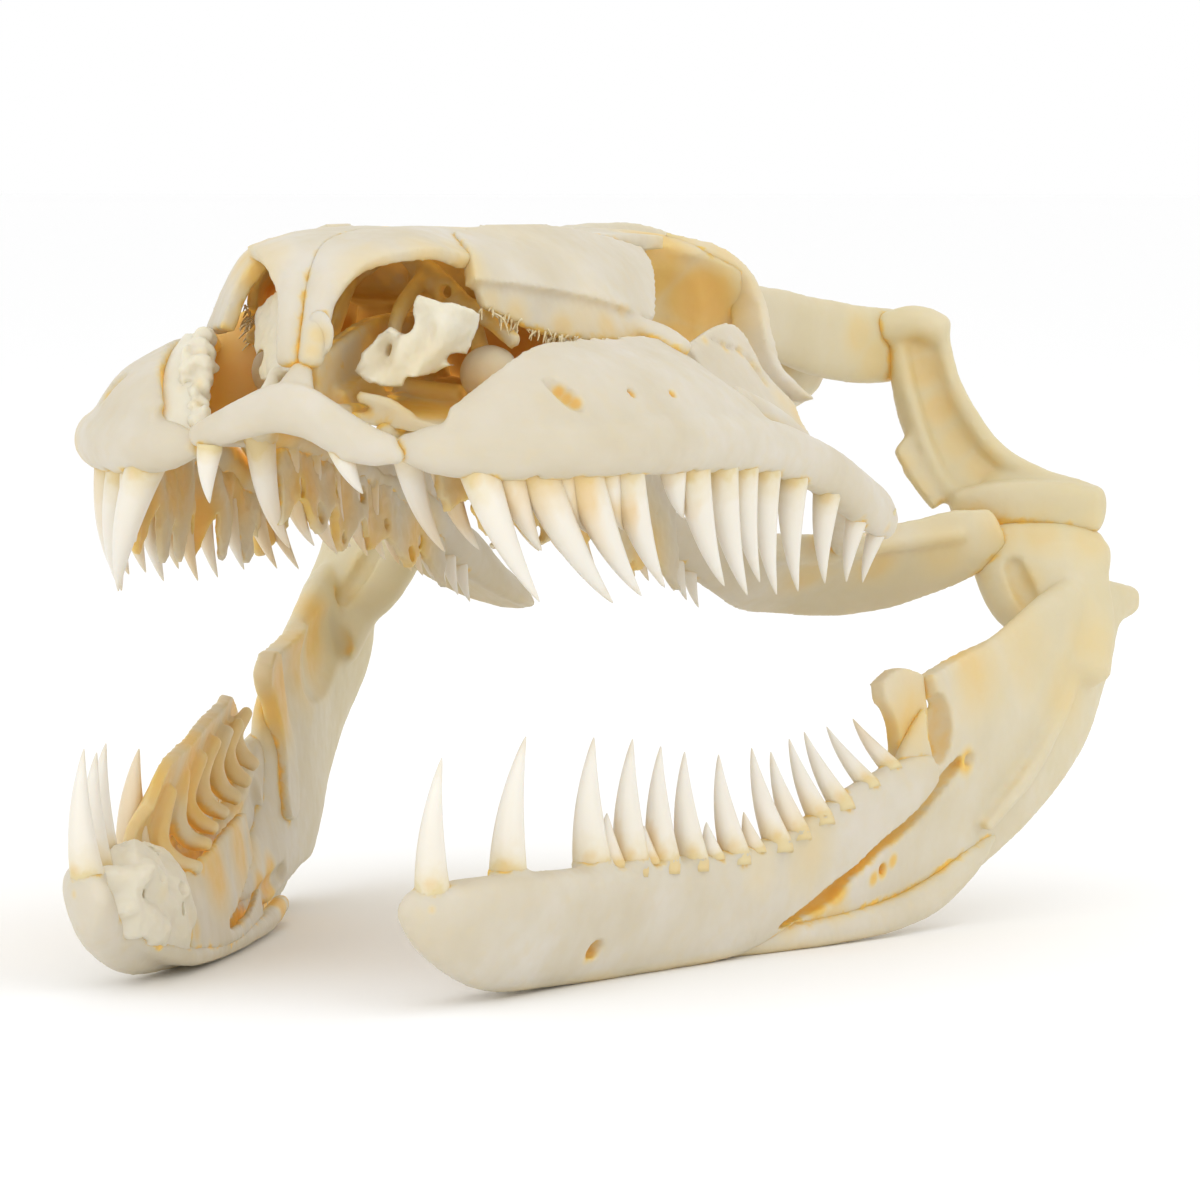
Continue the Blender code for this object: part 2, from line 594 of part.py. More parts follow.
# Seats, in the order the bones lap over one another. Middle bones lie under the paired ones.
seat(parabasisphenoid, parietal, braincase)
seat(braincase, parietal)
seat(nasal, premaxilla)
seat(frontal, parietal, parabasisphenoid, nasal)
seat(prefrontal, nasal, frontal, parietal)
seat(vomer, premaxilla, parabasisphenoid, frontal)
seat(septomaxilla, premaxilla, nasal, vomer)
seat(postorbital, parietal, frontal)
seat(supratemporal, parietal, braincase)
seat(quadrate, supratemporal, braincase)
seat(maxilla, premaxilla, prefrontal, septomaxilla)
seat(palatine, maxilla, vomer, premaxilla, parabasisphenoid, septomaxilla)
seat(ectopterygoid, maxilla, prefrontal, postorbital)
seat(pterygoid, palatine, ectopterygoid, parabasisphenoid, quadrate)
seat(compound, quadrate, pterygoid)
seat(angular, compound)
seat(dentary, compound, angular)
seat(splenial, dentary, compound, angular)
seat(coronoid, compound, dentary, angular, splenial)

lefts = [
    nasal, prefrontal, frontal, postorbital, supratemporal, quadrate, maxilla, ectopterygoid, pterygoid,
    palatine, vomer, septomaxilla, dentary, compound, angular, splenial, coronoid,
]
rights = {bone.name: mirrored(bone) for bone in lefts}

# Tooth rows as (x, y, z, length, back, out, radius), front to rear. A negative length stands up.
MAXILLARY = [(14.2, -15.2, 41.0, 10.2, 0.27, 0.38, 1.15), (17.5, -11.6, 40.9, 10.2, 0.6, 0.36, 1.25),
             (20.2, -8.5, 40.9, 9.9, 0.6, 0.25, 1.25), (22.4, -4.4, 41.0, 10.2, 0.55, 0.12, 1.15),
             (24.8, 4, 40.8, 10.2, 0.48, 0.09, 1.15), (26.2, 16, 40.2, 10.2, 0.3, -0.02, 1.05),
             (27.4, 27, 38.0, 8.0, 0.25, -0.12, 0.95), (28.3, 38.5, 35.2, 5.8, 0.2, -0.4, 0.75)]
MAXILLARY_Y = [-15.2, -11.6, -8.7, -4.9, 3.3, 7.8, 11.7, 15.8, 20.8, 27.2, 33.8, 38.4]
PALATINE = [(6.2, -11, 43.0, 8.4, 0.75, 0.06, 0.8), (7.2, -1, 41.8, 8.2, 0.85, 0.06, 0.8),
            (8.6, 12, 39.2, 6.8, 0.75, 0.08, 0.7), (9.2, 18, 37.8, 6.4, 0.7, 0.05, 0.7)]
PALATINE_Y = [-11.2, -5.6, -0.2, 5.2, 10.6, 15.8]
PTERYGOID = [(9.7, 21, 37.0, 5.4, 0.6, 0.05, 0.65), (10.3, 31, 34.2, 5.0, 0.55, 0.03, 0.6),
             (10.6, 41, 31.2, 4.6, 0.5, 0.0, 0.55)]
PTERYGOID_Y = [21.4, 24.4, 27.4, 30.4, 33.2, 36.0, 38.8]
DENTARY = [(14.6, -24.6, 9.4, -9.9, 0.05, 0.055, 1.1), (17.2, -17, 10.2, -10.8, 0.2, 0.06, 1.2),
           (19.2, -7, 10.0, -10.0, 0.1, -0.02, 1.2), (21.2, 2, 9.6, -9.2, 0.1, -0.04, 1.05),
           (23.0, 11, 9.0, -8.0, 0.1, -0.15, 0.95), (25.2, 20, 9.3, -7.4, 0.15, -0.34, 0.85),
           (27.2, 28, 11.4, -6.2, 0.2, -0.55, 0.75), (28.7, 33.5, 13.4, -4.8, 0.25, -0.9, 0.65),
           (29.8, 37.5, 15.0, -3.8, 0.3, -1.0, 0.6)]
DENTARY_Y = [-25.2, -16.7, -5.1, 0.2, 4.7, 9.0, 15.0, 20.9, 23.6, 26.9, 29.8, 33.5, 36.6]
PREMAXILLARY = [(4.2, -19.2, 43.4, 3.8, 0.5, 0.3, 0.65), (7.0, -18.9, 42.5, 4.2, 0.1, 0.05, 0.65)]

# The right dentary kept four standing teeth; those behind them lie low against its inner face.
RIGHT_DENTARY = [(-25.2, 1.0, 0.0), (-21.0, 0.84, 0.0), (-17.6, 0.82, 0.0), (-8.0, 0.78, 0.0),
                 (-0.5, 0.56, 0.5), (4.2, 0.60, 0.55), (8.8, 0.62, 0.6), (13.4, 0.68, 0.6),
                 (18.0, 0.76, 0.55),
                 (22.4, 0.84, 0.5), (26.6, 0.94, 0.4), (30.6, 1.0, 0.3), (34.4, 1.0, 0.2)]


def varied(places, seed):
    """Each place with its own share of the row's length, as no two teeth are alike."""
    shares = np.random.default_rng(seed).uniform(0.92, 1.04, len(places))
    return [(at, share, 0.0) for at, share in zip(places, shares)]


for bone, row, places, shares in (
    (maxilla, MAXILLARY, MAXILLARY_Y, FANG),
    (palatine, PALATINE, PALATINE_Y, PEG),
    (pterygoid, PTERYGOID, PTERYGOID_Y, PEG),
    (dentary, DENTARY, DENTARY_Y, FANG),
):
    left = varied(places, len(row))
    right = RIGHT_DENTARY if bone is dentary else left
    grow_teeth(bone, row, left, shares)
    grow_teeth(rights[bone.name], row, right, shares, side=-1)
grow_teeth(premaxilla, PREMAXILLARY, [(-19.2, 1.0, 0.0)], PEG)
grow_teeth(premaxilla, PREMAXILLARY, [(-18.9, 1.0, 0.0)], PEG, side=-1)

# The origin lies on the floor under the middle of the skull's length.
middle = Matrix.Translation((0, -MIDDLE * MM, 0))
for obj in bpy.data.objects:
    obj.data.transform(middle)
    finish(obj)
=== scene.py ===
import math

import bmesh
import bpy
import numpy as np
from mathutils import Matrix, Vector
from mathutils.bvhtree import BVHTree
from mathutils.kdtree import KDTree


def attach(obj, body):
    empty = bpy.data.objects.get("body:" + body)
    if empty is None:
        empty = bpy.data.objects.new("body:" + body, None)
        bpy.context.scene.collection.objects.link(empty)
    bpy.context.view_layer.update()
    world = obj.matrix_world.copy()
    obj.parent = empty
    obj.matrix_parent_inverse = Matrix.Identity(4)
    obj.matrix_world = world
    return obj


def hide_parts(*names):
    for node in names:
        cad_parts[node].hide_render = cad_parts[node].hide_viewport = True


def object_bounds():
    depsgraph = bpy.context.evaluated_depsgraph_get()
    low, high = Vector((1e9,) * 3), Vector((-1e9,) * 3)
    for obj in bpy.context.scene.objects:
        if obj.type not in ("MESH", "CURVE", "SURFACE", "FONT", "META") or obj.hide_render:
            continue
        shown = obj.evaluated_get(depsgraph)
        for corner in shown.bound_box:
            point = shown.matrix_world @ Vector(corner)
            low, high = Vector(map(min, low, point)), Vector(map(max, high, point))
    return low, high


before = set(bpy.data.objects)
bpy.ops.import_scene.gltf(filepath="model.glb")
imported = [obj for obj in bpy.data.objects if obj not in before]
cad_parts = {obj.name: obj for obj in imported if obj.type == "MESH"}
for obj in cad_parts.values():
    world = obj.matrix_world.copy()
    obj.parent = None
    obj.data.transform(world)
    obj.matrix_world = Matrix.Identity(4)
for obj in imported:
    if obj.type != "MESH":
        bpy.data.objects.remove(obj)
cad_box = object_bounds()

# Braincase. The otic and occipital bones of the skull's rear have grown into one dense ring
# round the brain, with a knob below its opening for the first neck bone. It is modelled as bars
# run together and worn smooth, as every bone here is, and the opening is hollowed out of it.
MM = 0.001
MIDDLE = 28.88  # mm along the measuring line to the middle of the skull's length


def at(x, y, z):
    """A place measured on the skull in millimetres, as a point of the scene."""
    return Vector((x * MM, (y - MIDDLE) * MM, z * MM))


def eased(rows, steps):
    """A smooth run through the rows, each column on its own."""
    rows = np.array(rows, float)
    ends = np.vstack([2 * rows[0] - rows[1], rows, 2 * rows[-1] - rows[-2]])
    out = []
    for i in range(1, len(ends) - 2):
        a, b, c, d = ends[i - 1 : i + 3]
        for t in np.arange(steps) / steps:
            linear = (c - a) * t
            square = (2 * a - 5 * b + 4 * c - d) * t**2
            cube = (3 * b - a - 3 * c + d) * t**3
            out.append(b + 0.5 * (linear + square + cube))
    out.append(rows[-1])
    return np.array(out)


def drawn_out(rings):
    """A disc extruded from ring to ring of points, closed at both ends."""
    bpy.ops.object.select_all(action="DESELECT")
    bpy.ops.mesh.primitive_circle_add(vertices=len(rings[0]), radius=MM, fill_type="NGON")
    form = bpy.context.object
    bpy.ops.object.mode_set(mode="EDIT")
    for number, ring in enumerate(rings):
        if number:
            bpy.ops.mesh.extrude_region_move()
        disc = next(f for f in bmesh.from_edit_mesh(form.data).faces if f.select)
        for corner, point in zip(disc.verts, ring):
            corner.co = point
    bpy.ops.mesh.select_all(action="SELECT")
    bpy.ops.mesh.normals_make_consistent(inside=False)
    bpy.ops.object.mode_set(mode="OBJECT")
    return form


SIDES = ((1, "left"), (-1, "right"))
NOSE = ((0.8, 0.3), (0.35, 0.5))  # girth and reach of the rings at a bar's end, as shares of the end


def bar(stations, up=(0, 0, 1), sides=20, steps=5, box=2.0, least=0.25):
    """A bar of bone through stations (x, y, z, half thickness, half height, lean in degrees), drawn
    in to a round nose at both ends. A box above 2 makes it squarer, and least is the half thickness
    in mm that it never goes below."""
    rows = eased([tuple(s) + (0,) * (6 - len(s)) for s in stations], steps)
    along = np.gradient(rows[:, :3], axis=0)
    along /= np.linalg.norm(along, axis=1)[:, None]
    turns = np.arange(sides) * 2 * math.pi / sides
    wide = np.sign(np.cos(turns)) * np.abs(np.cos(turns)) ** (2 / box)
    tall = np.sign(np.sin(turns)) * np.abs(np.sin(turns)) ** (2 / box)
    rings = []
    for row, way in zip(rows, along):
        side = np.cross(way, up)
        side /= np.linalg.norm(side)
        high = np.cross(side, way)
        lean = math.radians(row[5])
        side, high = (
            side * math.cos(lean) - high * math.sin(lean),
            high * math.cos(lean) + side * math.sin(lean),
        )
        half_wide, half_tall = np.maximum(row[3:5], least)
        rings.append(row[:3] + np.outer(wide, side * half_wide) + np.outer(tall, high * half_tall))
    for first, way, row in ((True, -along[0], rows[0]), (False, along[-1], rows[-1])):
        ring, reach = rings[0 if first else -1], max(min(row[3:5]), least)
        for girth, step in NOSE:
            nose = row[:3] + (ring - row[:3]) * girth + way * reach * step
            rings.insert(0 if first else len(rings), nose)
    return drawn_out([[at(*point) for point in ring] for ring in rings])


def ball(x, y, z, radii, turn=(0, 0, 0)):
    """A ball stretched to its radii in mm, then turned by so many degrees about X, Y and Z."""
    bpy.ops.object.select_all(action="DESELECT")
    bpy.ops.mesh.primitive_uv_sphere_add(
        segments=24, ring_count=16, radius=MM, location=at(x, y, z), scale=radii,
        rotation=[math.radians(t) for t in turn],
    )
    bpy.ops.object.transform_apply(location=True, rotation=True, scale=True)
    return bpy.context.object


def work(obj, kind, **settings):
    """Adds a modifier with its settings and applies it."""
    step = obj.modifiers.new(kind, kind)
    for name, value in settings.items():
        setattr(step, name, value)
    bpy.context.view_layer.objects.active = obj
    bpy.ops.object.modifier_apply(modifier=step.name)


def joined(name, forms):
    """Makes one object of the forms, under its name in the model."""
    bpy.ops.object.select_all(action="DESELECT")
    for form in forms:
        form.select_set(True)
    bpy.context.view_layer.objects.active = forms[0]
    if len(forms) > 1:
        bpy.ops.object.join()
    forms[0].name = forms[0].data.name = name
    return forms[0]


def whole(obj):
    """Keeps the largest connected piece, so that no crumb is left floating."""
    shape = bmesh.new()
    shape.from_mesh(obj.data)
    left, parts = set(shape.verts), []
    while left:
        seed = left.pop()
        part, queue = [seed], [seed]
        while queue:
            for edge in queue.pop().link_edges:
                for vert in edge.verts:
                    if vert in left:
                        left.discard(vert)
                        part.append(vert)
                        queue.append(vert)
        parts.append(part)
    parts.sort(key=len)
    bmesh.ops.delete(shape, geom=[v for part in parts[:-1] for v in part], context="VERTS")
    shape.to_mesh(obj.data)
    shape.free()


def carve(bone, cutters):
    """Takes the cutters out of the bone, and removes them."""
    tools = bpy.data.collections.new("cutters")
    for cutter in cutters:
        tools.objects.link(cutter)
    work(bone, "BOOLEAN", operation="DIFFERENCE", solver="MANIFOLD", operand_type="COLLECTION",
         collection=tools)
    for cutter in cutters:
        bpy.data.objects.remove(cutter)
    bpy.data.collections.remove(tools)


def within_the_box(piece):
    """Draws in any point that stands out of the model's own box."""
    for vert in piece.data.vertices:
        vert.co = [min(max(c, low), high) for c, low, high in zip(vert.co, *cad_box)]


GRAIN = 0.28  # mm, how finely the bones are modelled
SWELL, SWELL_SIZE = 0.16, 4.5  # mm high and across: the slow unevenness of grown bone
WEAR, WEAR_SIZE = 0.07, 0.9  # mm high and across: the dryness of its surface
SUNK = 0.6  # share of that unevenness that lies below the surface


def fused(name, forms, cuts=(), grain=GRAIN, rounds=6, rough=1.0):
    """Runs forms together into one bone, hollows it, softens its edges in so many rounds and gives
    it its unevenness, with its fine wear so many times as rough as on sound bone."""
    bone = joined(name, forms)
    work(bone, "REMESH", mode="VOXEL", voxel_size=grain * MM)
    if cuts:
        carve(bone, cuts)
        work(bone, "REMESH", mode="VOXEL", voxel_size=grain * MM)
    work(bone, "SMOOTH", factor=0.5, iterations=rounds)
    whole(bone)
    for size, height in ((SWELL_SIZE, SWELL), (WEAR_SIZE, WEAR * rough)):
        clouds = bpy.data.textures.new("unevenness", "CLOUDS")
        clouds.noise_scale = size * MM
        work(bone, "DISPLACE", texture=clouds, strength=height * MM, mid_level=SUNK)
    within_the_box(bone)
    return bone


def linear(code):
    """An sRGB hex colour as linear numbers."""
    parts = [int(code[i : i + 2], 16) / 255 for i in (1, 3, 5)]
    return [c / 12.92 if c <= 0.04045 else ((c + 0.055) / 1.055) ** 2.4 for c in parts] + [1.0]


def add(tree, kind, settings=None, stops=(), **links):
    """Adds a node with its settings, and its (place, hex colour) stops if it is a ramp. Each link
    names an input, with _ for a space, or gives n and its number, and holds a value or a socket."""
    made = tree.nodes.new("ShaderNode" + kind)
    for name, value in (settings or {}).items():
        setattr(made, name, value)
    while stops and len(made.color_ramp.elements) < len(stops):
        made.color_ramp.elements.new(0.5)
    for number, (place, code) in enumerate(stops):
        made.color_ramp.elements[number].position = place
        made.color_ramp.elements[number].color = linear(code)
    for name, value in links.items():
        socket = made.inputs[int(name[1:])] if name[0] == "n" and name[1:].isdigit() else (
            made.inputs[name.replace("_", " ")])
        if isinstance(value, bpy.types.NodeSocket):
            tree.links.new(value, socket)
        else:
            socket.default_value = value
    return made


def begun(name):
    """A new material, its node tree, its shader and the place on the piece that its patterns read."""
    material = bpy.data.materials.new(name)
    material.use_nodes = True
    tree = material.node_tree
    return material, tree, tree.nodes["Principled BSDF"], add(tree, "TexCoord").outputs["Object"]


BLOTCH, MOTTLE = 8.0, 1.5  # mm across: the large patches of colour in a bone, and the small ones
FIBRE, DRAWN = 0.5, 0.22  # mm across a fibre of bone, and that width as a share of its length
PORE = 0.7  # mm between pores, coarser than the real 0.2 mm so that they show in the picture


def dry_bone():
    """Boiled and dried snake bone. Chalky ivory where it is thick and open to the light, warm ochre
    painted in hollows as shade and on marked places as fat stains and shade, greasy yellow towards
    the jaw joint, finely pored. A painted glow of that ochre inside closed hollows stands in for light
    let through thin walls."""
    material, tree, shader, where = begun("dry_bone")
    blotch = add(tree, "TexNoise", Vector=where, Scale=1 / (BLOTCH * MM), Detail=3.0).outputs["Fac"]
    mottle = add(tree, "TexNoise", Vector=where, Scale=1 / (MOTTLE * MM), Detail=5.0).outputs["Fac"]
    drawn = add(tree, "Mapping", Vector=where, Scale=(1.0, DRAWN, 1.0)).outputs["Vector"]
    fibre = add(tree, "TexNoise", Vector=drawn, Scale=1 / (FIBRE * MM), Detail=4.0).outputs["Fac"]
    pores = add(tree, "TexVoronoi", Vector=where, Scale=1 / (PORE * MM)).outputs["Distance"]
    hollow, grease, chalk, painted_glow = (
        add(tree, "Attribute", {"attribute_name": name}).outputs["Fac"]
        for name in ("hollow", "grease", "chalk", "painted_glow"))

    ivory = add(tree, "ValToRGB", Fac=blotch, stops=[(0.30, "#C9BEA5"), (0.52, "#CEC5B1"),
                                                     (0.70, "#D3CCBE")]).outputs["Color"]
    speck = add(tree, "MapRange", Value=mottle, From_Min=0.52, From_Max=0.75, To_Max=0.35).outputs[0]
    tinted = add(tree, "Mix", {"data_type": "RGBA"}, n0=speck, n6=ivory, n7=linear("#D3C4A0")).outputs[2]
    greased = add(tree, "Mix", {"data_type": "RGBA"}, n0=grease, n6=tinted,
                  n7=linear("#D4C48C")).outputs[2]
    uneven = add(tree, "MapRange", Value=blotch, From_Min=0.3, From_Max=0.7, To_Min=-0.08,
                 To_Max=0.08).outputs[0]
    # Painted shade: ochre mixed in by how shut in each point is, with fat stains on marked places.
    depth = add(tree, "Math", {"operation": "ADD", "use_clamp": True}, n0=hollow, n1=uneven).outputs[0]
    amber = add(tree, "ValToRGB", Fac=depth, stops=[
        (0.15, "#DCCB9A"), (0.38, "#DABD79"), (0.62, "#DDB45C"), (0.85, "#DEAE48"), (1.0, "#D9A43A"),
    ]).outputs["Color"]
    share = add(tree, "MapRange", Value=depth, From_Min=0.12, From_Max=0.50, To_Max=1.0).outputs[0]
    shaded_and_stained = add(tree, "Mix", {"data_type": "RGBA"}, n0=share, n6=greased, n7=amber).outputs[2]
    bared = add(tree, "Mix", {"data_type": "RGBA"}, n0=chalk, n6=shaded_and_stained, n7=linear("#E6E0CC")).outputs[2]
    tree.links.new(bared, shader.inputs["Base Color"])

    gloss = add(tree, "MapRange", Value=mottle, From_Min=0.3, From_Max=0.7, To_Min=0.42,
                To_Max=0.60).outputs[0]
    tree.links.new(gloss, shader.inputs["Roughness"])
    pits = add(tree, "MapRange", Value=pores, From_Max=0.35).outputs[0]
    fine = add(tree, "Bump", Height=fibre, Strength=0.30, Distance=0.05 * MM)
    pitted = add(tree, "Bump", Height=pits, Strength=0.15, Distance=0.05 * MM, Normal=fine.outputs[0])
    bumped = add(tree, "Bump", Height=mottle, Strength=0.25, Distance=0.10 * MM, Normal=pitted.outputs[0])
    tree.links.new(bumped.outputs[0], shader.inputs["Normal"])
    shader.inputs["IOR"].default_value = 1.5

    tree.links.new(amber, shader.inputs["Emission Color"])  # painted glow: emission that stands in for light through the thin walls
    tree.links.new(painted_glow, shader.inputs["Emission Strength"])
    thin = add(tree, "MapRange", Value=depth, From_Min=0.3, From_Max=0.75, To_Min=0.25,
               To_Max=1.0).outputs[0]
    tree.links.new(thin, shader.inputs["Subsurface Weight"])
    shader.inputs["Subsurface Radius"].default_value = (1.0, 0.72, 0.36)
    shader.inputs["Subsurface Scale"].default_value = 2.0 * MM
    return material


BONE = dry_bone()
bones = []  # every finished piece, for the painted shade and stains at the end
stain_and_shade_marks = []  # (x, y, z, reach, depth) of each marked place: fat stains and painted shade
BARED = set()  # names of the pieces of broken, chalky bone


def mark_stain_and_shade(depth, reach, *places, sides=(-1, 1)):
    """Marks places painted ochre, so many mm about them, on the sides named: -1 for the right, 1 for
    the left: fat or blood that has stayed in the bone, and painted shade in holes, pits, grooves and
    recesses. A depth of 1 is the darkest ochre."""
    for x, y, z in places:
        stain_and_shade_marks.extend((side * x, y, z, reach, depth) for side in sides)


def set_in_place(piece, material, *nodes):
    """Finishes a piece and lets it stand for the bones that it is made after."""
    piece.data.materials.clear()
    piece.data.materials.append(material)
    piece.data.shade_smooth()
    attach(piece, "root")
    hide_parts(*nodes)
    bones.append(piece)


foramen_magnum = bar([(0, 64, 48.8, 3.4, 2.4), (0, 70, 48.8, 4.8, 3.2), (0, 78, 48.8, 3.4, 2.9),
                      (0, 86, 48.8, 3.6, 3.2)])
ear_openings = [ball(side * 13.6, 68.5, 47.2, (1.6, 2.2, 1.2)) for side in (-1, 1)]
nerve_holes = [ball(side * 4.6, 80.8, 45.8, (0.5, 1.2, 0.5)) for side in (-1, 1)]
braincase = fused(
    "braincase_rear_bone",
    [
        bar([(0, 56, 47.6, 9.0, 4.2), (0, 61, 47.8, 11.6, 5.2), (0, 68, 48.0, 12.2, 6.2),
             (0, 74, 48.0, 10.0, 6.2), (0, 79.5, 47.6, 6.4, 5.2)], box=2.4, sides=28),
        bar([(0, 66, 44.4, 5.0, 2.4), (0, 76, 44.0, 4.2, 2.4), (0, 81.5, 43.6, 3.2, 2.2)]),
        ball(0, 82.4, 43.6, (2.9, 2.4, 2.1)),
        bar([(0, 66, 54.8, 1.0, 1.6), (0, 74, 53.8, 0.9, 1.8), (0, 79.5, 52.4, 0.8, 1.6)]),
        *(bar([(side * 9.5, 59, 49.2, 2.0, 1.8), (side * 11.8, 65, 48.8, 2.4, 2.4),
               (side * 12.8, 71, 48.6, 2.6, 2.2), (side * 12.6, 76, 48.2, 1.6, 1.4)]) for side in (-1, 1)),
    ],
    [foramen_magnum, *ear_openings, *nerve_holes],
)
set_in_place(braincase, BONE, "braincase_rear")

# Parietal. One long arched bone roofs the brain, with a low crest for the jaw muscles and a
# flared corner on each side that closes the orbit behind. The orbit is hollowed out of its front.
def orbits():
    """The two round hollows that the eyes lay in."""
    return [ball(side * 15.5, 29, 51.5, (8.5, 9, 7)) for side in (-1, 1)]


def woven(rows, along, across):
    """A grid of points that runs smoothly through rows of them, along the rows and across them."""
    grid = np.array([eased(row, along) for row in rows])
    return np.array([eased(grid[:, j], across) for j in range(grid.shape[1])]).transpose(1, 0, 2)


def sheet(rows, thickness, steps=5):
    """A sheet of bone through rows of points, half its thickness in mm on each side."""
    grid = woven(rows, steps, steps)
    tall, wide = grid.shape[:2]
    bpy.ops.object.select_all(action="DESELECT")
    bpy.ops.mesh.primitive_grid_add(x_subdivisions=wide - 1, y_subdivisions=tall - 1, size=MM)
    form = bpy.context.object
    for vert, point in zip(form.data.vertices, grid.reshape(-1, 3), strict=True):
        vert.co = at(*point)
    work(form, "SOLIDIFY", thickness=thickness * MM, offset=0)
    return form


def mirrored(rows):
    """Rows of points of the left side, turned to the right one."""
    return [[(-x, *rest) for x, *rest in row] for row in rows]


ORBIT_WALL = [[(8.4, 30, 58.6), (8.6, 33, 54), (8.6, 34, 46.5)],
              [(12.4, 35, 58), (12.6, 38.2, 53.5), (12.4, 39, 46.5)],
              [(15.4, 38.6, 56), (16.0, 39.8, 51.5), (15.4, 40, 47)]]
WALL_THICKNESS = 1.5  # mm
parietal = fused(
    "parietal_bone",
    [
        bar([(0, 29, 54.0, 10.0, 5.0), (0, 34, 53.6, 10.6, 5.7), (0, 42, 53.2, 10.2, 6.0),
             (0, 52, 52.6, 9.2, 6.0), (0, 60, 51.8, 8.4, 5.4), (0, 67, 51.2, 6.2, 4.4)], box=2.4, sides=28),
        bar([(0, 32, 58.4, 1.6, 1.0), (0, 42, 58.6, 1.2, 1.2), (0, 54, 58.2, 0.9, 1.5),
             (0, 66, 56.6, 0.8, 1.4), (0, 70, 55.6, 0.6, 0.9)]),
        *(bar([(side * 6, 34, 58.2, 1.2, 2.4), (side * 10, 34.6, 58.0, 0.9, 2.2),
               (side * 12.4, 36, 57.4, 0.7, 1.6)], up=(0, 1, 0)) for side in (-1, 1)),
        sheet(ORBIT_WALL, WALL_THICKNESS),
        sheet(mirrored(ORBIT_WALL), WALL_THICKNESS),
    ],
    orbits(),
)
# Painted shade: ochre inside the orbits.
mark_stain_and_shade(0.52, 6, (9, 31, 51), (11, 36, 49), (12, 37.5, 53.5), (9.4, 32.5, 56))
set_in_place(parietal, BONE, "parietal")


# Parabasisphenoid. The keeled bone under the brain runs forward as a thin rod between the
# palate bones, and two stout feet behind carry the pterygoids.
parabasisphenoid = fused(
    "parabasisphenoid_bone",
    [
        bar([(0, 8, 46.6, 0.7, 0.8), (0, 20, 46.6, 1.3, 1.2), (0, 34, 46.2, 2.4, 1.5),
             (0, 46, 45.2, 4.6, 1.7), (0, 56, 43.2, 5.6, 1.6), (0, 66, 41.8, 4.2, 1.3)]),
        bar([(0, 34, 45.0, 0.8, 1.2), (0, 48, 43.0, 0.8, 1.4), (0, 62, 41.2, 0.7, 1.1)]),
        *(bar([(side * 3, 47, 43.6, 1.5, 1.3), (side * 7.2, 48.5, 41.2, 1.3, 1.4),
               (side * 9.2, 49.5, 37.8, 1.1, 1.4)], up=(0, 1, 0)) for side in (-1, 1)),
    ],
)
set_in_place(parabasisphenoid, BONE, "parabasisphenoid")


# Frontals. A pair of roof bones between the eyes, each with a rim over the orbit and a hollowed
# side wall below it. They meet in a straight suture on the midline.
def both_sides(bone, *nodes):
    """Sets the left bone in place, and its mirrored copy with a mesh of its own on the right."""
    twin = bpy.data.objects.new(bone.name.replace("_left", "_right"), bone.data.copy())
    bpy.context.scene.collection.objects.link(twin)
    twin.data.transform(Matrix.Scale(-1, 4, Vector((1, 0, 0))))
    twin.data.flip_normals()
    set_in_place(bone, BONE, *nodes)
    set_in_place(twin, BONE, *(node.replace("_left", "_right") for node in nodes))


MIDLINE = -0.1  # mm from the midline to a paired bone's face, which just bites into its twin


def beside_midline(reach=60):
    """A block over the far side of the midline, which the paired bones stop at."""
    bpy.ops.object.select_all(action="DESELECT")
    bpy.ops.mesh.primitive_cube_add(size=2 * reach * MM, location=at(MIDLINE - reach, 20, 50))
    bpy.ops.object.transform_apply(location=True, rotation=True, scale=True)
    return bpy.context.object


frontal = fused(
    "frontal_left_bone",
    [
        bar([(2.6, 4, 56.6, 4.2, 2.3), (4.0, 11, 55.8, 5.0, 3.4), (4.4, 20, 55.5, 5.4, 3.8),
             (4.6, 30, 55.4, 5.6, 4.2)], box=3.2),
        sheet([[(-0.8, 6, 58.6), (-0.8, 18, 58.9), (-0.8, 31, 59.2)],
               [(8.4, 10, 58.5), (10.4, 19, 58.5), (11.6, 31, 58.2)]], 1.3),
        sheet([[(-0.4, 8, 57.5), (4.5, 8, 57.5), (10.0, 10, 57)],
               [(-0.4, 8.6, 50), (4.5, 8.6, 50), (10.5, 10.5, 50.5)],
               [(-0.4, 9.5, 44.5), (4.5, 9.5, 44.5), (10.0, 11.5, 45)]], 1.1),
    ],
    [*orbits(), beside_midline()],
)
# Painted shade: ochre on the hollowed side wall below the rim.
mark_stain_and_shade(0.62, 9, (4, 7, 52), (7, 8, 48), (3, 7, 47))
both_sides(frontal, "frontal_left")

# Nasals. Two thin arched plates over the nostrils, with a slim bar between them that comes down
# to the snout, where the gum that held its foot has dried on.
nasal = fused(
    "nasal_left_bone",
    [
        sheet([[(-0.6, -16.4, 51.5), (-0.6, -15.3, 55.2), (-0.6, -13.2, 57.8), (-0.6, -8, 58.9),
                (-0.6, 0, 59.1), (-0.6, 10, 58.9)],
               [(0.9, -16.7, 51.0), (1.4, -15.6, 55.0), (3.0, -13.8, 57.4), (4.4, -9, 58.7),
                (4.6, -1, 59.0), (4.8, 9, 58.9)],
               [(1.7, -16.7, 50.6), (2.3, -15.4, 54.0), (4.6, -13.9, 56.8), (8.0, -9.4, 57.7),
                (9.0, -4.6, 56.9), (8.8, 4, 58.1)]], 1.3),
        bar([(0.9, -17.3, 49.4, 1.1, 1.0), (1.1, -16.5, 52.5, 1.15, 1.0), (1.3, -15.2, 56, 1.3, 1.0)],
            up=(0, 1, 0)),
    ],
    [beside_midline()],
    rounds=4,
)
# Painted shade: ochre under the arch over each nostril.
mark_stain_and_shade(0.5, 3.5, (6.5, -9, 56.2), (4.0, -12.5, 55), (8, -6, 56))
both_sides(nasal, "nasal_left")


